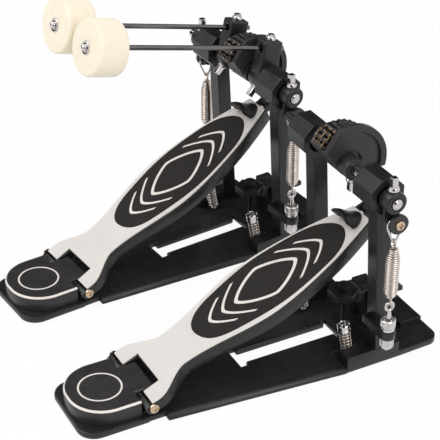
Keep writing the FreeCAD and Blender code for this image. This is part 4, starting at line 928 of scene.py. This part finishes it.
def feltProfile(faceSteps=18, wallSteps=50):
    radius, edge, length, hole = (feltForm[key] for key in ("radius", "edge", "length", "hole"))
    inner = radius - edge
    profile = [(rodForm["bore"], 0.2)]
    profile += [(hole + (inner - hole) * i / faceSteps, 0) for i in range(faceSteps)]
    profile += [(inner + edge * math.sin(a), edge - edge * math.cos(a)) for a in quarter()]
    for i in range(1, wallSteps):
        level = edge + (length - 2 * edge) * i / wallSteps
        seam = sum(math.exp(-((level - layer) / feltForm["seam"]) ** 2) for layer in feltForm["layers"])
        swell = feltForm["belly"] * math.sin(math.pi * i / wallSteps)
        profile.append((radius + swell - feltForm["groove"] * seam, level))
    profile += [(inner + edge * math.cos(a), length - edge + edge * math.sin(a)) for a in quarter()]
    for i in range(1, faceSteps + 1):
        crown = feltForm["crown"] * math.sin(math.pi * i / faceSteps)
        profile.append((inner - (inner - hole) * i / faceSteps, length + crown))
    return profile + [(rodForm["bore"], length - 0.2)]


def feltMesh():
    # the turned head, with its surface raised and sunk into fine tufts
    mesh = lathe(feltProfile(), 168)
    form = bmesh.new()
    form.from_mesh(mesh)
    form.normal_update()
    for vert in form.verts:
        place = vert.co / mm
        tuft = sum(noise.noise(place * scale) * share for scale, share in feltForm["tufts"])
        vert.co += vert.normal * (tuft * feltForm["fuzz"] * mm)
    form.to_mesh(mesh)
    form.free()
    return mesh


def rodMesh():
    radius, tail = rodForm["radius"], -feltForm["rear"] - rodForm["front"]
    return lathe([(0, tail), (radius - 0.6, tail), (radius, tail + 0.6), (radius, feltForm["length"])], 48)


def domeNut():
    # a washer and a domed nut on the beater's face
    washer, dome, face = rodForm["washer"], rodForm["dome"], feltForm["length"]
    start, rise = face + 2.2, 0.85 * dome
    profile = [(0, face - 0.3), (washer, face - 0.3), (washer, face + 0.9), (washer - 0.6, face + 1.5),
               (dome + 1.0, face + 1.2), (dome, face + 1.4)]
    profile += [(dome * math.cos(a), start + rise * math.sin(a)) for a in quarter()[:-1]]
    return lathe(profile + [(0, start + rise)], 48)


for label, beater in beaters.items():
    spot = rodPose() @ shift(beater["at"], -feltForm["rear"], feltForm["rod"]) @ turn(90, "X")
    felt, rod = label + "_beater_felt", label + "_beater_rod"
    finishPiece(placed(feltMesh(), spot), label + "Felt", bodyOf(felt), "felt", [felt], 75)
    finishPiece(placed(rodMesh(), spot), label + "Rod", bodyOf(rod), "rodSteel", [rod])
    finishPiece(placed(domeNut(), spot), label + "DomeNut", bodyOf(rod), "chrome")

print("toe stops")
stopForm = {"half": 13.5, "seat": 4.5, "bend": 251, "sections": 17, "fall": 0.22, "hook": 6.5, "round": 0.93,
            "pull": 0.55}
stopProfile = [(250, 4.5), (248.6, 8), (246, 13), (243, 17), (241.8, 19.4), (242, 21.4), (243.8, 22.4),
               (246.4, 21.8), (249, 18.8), (252, 14), (256, 9.6), (259.6, 7.2), (261.6, 5.8), (261.8, 4.5)]


def stopMesh():
    # a scoop: its lip leans back over the pad and its back falls away to a round end
    form = bmesh.new()
    rows = []
    count = stopForm["sections"]
    for i in range(count):
        across = 2 * i / (count - 1) - 1
        tall = 1 - stopForm["fall"] * across ** 2
        deep = math.sqrt(1 - (stopForm["round"] * across) ** 2)
        row = []
        for s, n in stopProfile:
            scale = deep if s > stopForm["bend"] else 1 - stopForm["pull"] * across ** 2
            far = stopForm["bend"] + (s - stopForm["bend"]) * scale - stopForm["hook"] * across ** 2
            level = stopForm["seat"] + (n - stopForm["seat"]) * tall
            row.append(form.verts.new((across * stopForm["half"] * mm, far * mm, level * mm)))
        rows.append(row)
    piece = newObject("stopForm", capped(form, rows, "stopForm"))
    rounded = piece.modifiers.new("round", "SUBSURF")
    rounded.levels = rounded.render_levels = 2
    return settle(piece)


print("lines")
padLine = {"low": 5.25, "high": 5.55}
lozenge = {"at": 152, "long": 36, "wide": 23, "line": 3.3, "power": 1.35, "taper": 1.25}
chevrons = [{"apex": 202, "arm": 179, "wide": 24}, {"apex": 217, "arm": 198, "wide": 19}]
chevronPower = 1.5
heelRing = {"at": -248, "radius": 20.5, "line": 1.7, "low": 21.9, "high": 22.15}
heelEdge = {"half": 36.5, "front": -223.6, "rear": -280, "corner": 34, "line": 1.5, "low": 21.86,
            "high": 22.18, "drop": 1.5}


def lozengeLine(inset, points=120):
    wide, long = lozenge["wide"] - inset, lozenge["long"] - lozenge["taper"] * inset
    line = []
    for i in range(points):
        angle = 2 * math.pi * i / points
        x, y = math.cos(angle), math.sin(angle)
        size = (abs(x) ** lozenge["power"] + abs(y) ** lozenge["power"]) ** (-1 / lozenge["power"])
        line.append((wide * x * size, lozenge["at"] + long * y * size))
    return line


def chevronLine(chevron, sign, inset, steps=40):
    line = []
    for i in range(steps + 1):
        across = 2 * i / steps - 1
        fall = (chevron["apex"] - chevron["arm"]) * abs(across) ** chevronPower
        along = chevron["apex"] - fall - inset
        line.append((across * chevron["wide"], lozenge["at"] + sign * (along - lozenge["at"])))
    return line


def circleLine(inset, points=96):
    radius, angles = heelRing["radius"] - inset, [2 * math.pi * i / points for i in range(points)]
    return [(radius * math.cos(a), heelRing["at"] + radius * math.sin(a)) for a in angles]


def edgeLine(inset, steps=16):
    # round the heel block's top edge, from its front on one side to its front on the other
    half, corner = heelEdge["half"] - inset, heelEdge["corner"] - inset
    rear = heelEdge["rear"] + inset
    line = [(half, heelEdge["front"])]
    for sign in (1, -1):
        for angle in quarter(steps)[::sign]:
            across = half - corner + corner * math.cos(angle)
            line.append((sign * across, rear + corner - corner * math.sin(angle)))
    return line + [(-half, heelEdge["front"])]


low, high = padLine["low"], padLine["high"]
ornament = [band(lozengeLine(0), lozengeLine(lozenge["line"]), low, high)]
for chevron in chevrons:
    for sign in (1, -1):
        outer, inner = (chevronLine(chevron, sign, inset) for inset in (0, lozenge["line"]))
        ornament.append(band(outer, inner, low, high, False))
ring = band(circleLine(0), circleLine(heelRing["line"]), heelRing["low"], heelRing["high"])
edge = band(edgeLine(0), edgeLine(heelEdge["line"]), heelEdge["low"], heelEdge["high"],
            closed=False, drop=heelEdge["drop"])
for pedalName, pedal in pedals.items():
    board, stop, pad = boardPose(pedal), pedalName + "_toe_stop", pedalName + "_grip_pad"
    finishPiece(placed(stopMesh(), board), pedalName + "ToeScoop", bodyOf(stop), "stopRubber", [stop], 50)
    finishPiece(placed(joined(ornament), board), pedalName + "PadOrnament", bodyOf(pad), "whiteLine")
    finishPiece(placed(joined([ring, edge]), pedalPose(pedal)), pedalName + "HeelLines", "stand", "whiteLine")

print("stage")
floorForm = {"size": 12, "level": -0.0004, "paint": (0.93, 0.93, 0.93, 1), "share": 0.95}
worldForm = {"soft": 0.62, "seen": 1.0}
lamps = {
    "keyLamp": {"place": (-0.7, -1.5, 1.9), "aim": (0.08, -0.1, 0.1), "size": 1.4, "power": 19},
    "fillLamp": {"place": (1.9, 0.1, 1.5), "aim": (0.1, -0.1, 0.1), "size": 1.6, "power": 19},
}
# dark cards that show only in reflections, never to the camera, in diffuse light or in shadows: painted dark
# reflections in the bright metal
cards = {
    "cameraCard": {"place": (1.5, -1.05, 0.75), "size": 1.5},
    "leftCard": {"place": (-1.3, -0.9, 0.5), "size": 1.0},
    "backCard": {"place": (-1.3, 0.85, 1.0), "size": 1.8},
}
cardFinish = {"Base Color": (0.01, 0.01, 0.01, 1), "Roughness": 0.9, "aim": (0.1, -0.1, 0.1)}
view = {"place": (1.0978, -0.7567, 0.8292), "azimuth": 56.516, "elevation": 31.698, "lens": 118.0,
        "sensor": 36, "far": 50}
white = (1, 1, 1, 1)


def stageSheet(name, size, material):
    half = size / 2
    corners = [(-half, -half, 0), (half, -half, 0), (half, half, 0), (-half, half, 0)]
    mesh = bpy.data.meshes.new(name)
    mesh.from_pydata(corners, [], [(0, 1, 2, 3)])
    mesh.materials.append(material)
    made = newObject(name, mesh)
    return made


def hang(made, place, aim):
    made.location = place
    made.rotation_euler = (Vector(aim) - Vector(place)).to_track_quat("-Z", "Y").to_euler()


def whereSeen(tree):
    # 1 where the camera, a reflection or a clear piece shows it, and 0 where it only lights
    ray = addNode(tree, "ShaderNodeLightPath")
    seen = ray.outputs["Is Camera Ray"]
    for label in ("Is Glossy Ray", "Is Transmission Ray"):
        either = addNode(tree, "ShaderNodeMath", operation="MAXIMUM")
        tree.links.new(seen, either.inputs[0])
        tree.links.new(ray.outputs[label], either.inputs[1])
        seen = either.outputs[0]
    return seen


def mixed(tree, share, lit, shown, result):
    mix = addNode(tree, "ShaderNodeMixShader")
    tree.links.new(share, mix.inputs["Fac"])
    tree.links.new(lit.outputs[0], mix.inputs[1])
    tree.links.new(shown.outputs[0], mix.inputs[2])
    tree.links.new(mix.outputs[0], addNode(tree, result).inputs["Surface"])


paleFloor = bpy.data.materials.new("paleFloor")
paleFloor.use_nodes = True
tree = paleFloor.node_tree
tree.nodes.clear()
paint = addNode(tree, "ShaderNodeBsdfDiffuse", Color=floorForm["paint"])
glow = addNode(tree, "ShaderNodeEmission", Color=white, Strength=1.0)
share = addNode(tree, "ShaderNodeMath", operation="MULTIPLY")
share.inputs[1].default_value = floorForm["share"]
tree.links.new(whereSeen(tree), share.inputs[0])
mixed(tree, share.outputs[0], paint, glow, "ShaderNodeOutputMaterial")
floor = stageSheet("floor", floorForm["size"], paleFloor)
floor.location.z = floorForm["level"]

world = bpy.data.worlds.new("studio")
bpy.context.scene.world = world
world.use_nodes = True
tree = world.node_tree
tree.nodes.clear()
soft = addNode(tree, "ShaderNodeBackground", Color=white, Strength=worldForm["soft"])
seen = addNode(tree, "ShaderNodeBackground", Color=white, Strength=worldForm["seen"])
mixed(tree, whereSeen(tree), soft, seen, "ShaderNodeOutputWorld")

for name, lamp in lamps.items():
    light = bpy.data.lights.new(name, "AREA")
    light.size = lamp["size"]
    light.energy = lamp["power"]
    hang(newObject(name, light), lamp["place"], lamp["aim"])

paintedReflectionCard = bpy.data.materials.new("paintedReflectionCard")
paintedReflectionCard.use_nodes = True
for label in ("Base Color", "Roughness"):
    paintedReflectionCard.node_tree.nodes["Principled BSDF"].inputs[label].default_value = cardFinish[label]
for name, card in cards.items():
    hung = stageSheet(name, card["size"], paintedReflectionCard)
    hang(hung, card["place"], cardFinish["aim"])
    # hidden from the camera, from diffuse light and from shadows, so each card only paints dark reflections
    # into the metal
    hung.visible_camera = hung.visible_diffuse = hung.visible_shadow = False

lens = bpy.data.cameras.new("photoCamera")
lens.lens = view["lens"]
lens.sensor_width = view["sensor"]
lens.clip_end = view["far"]
camera = newObject("photoCamera", lens)
camera.location = view["place"]
camera.rotation_euler = (math.radians(90 - view["elevation"]), 0, math.radians(view["azimuth"]))
bpy.context.scene.camera = camera
bpy.context.scene.view_settings.view_transform = "Standard"
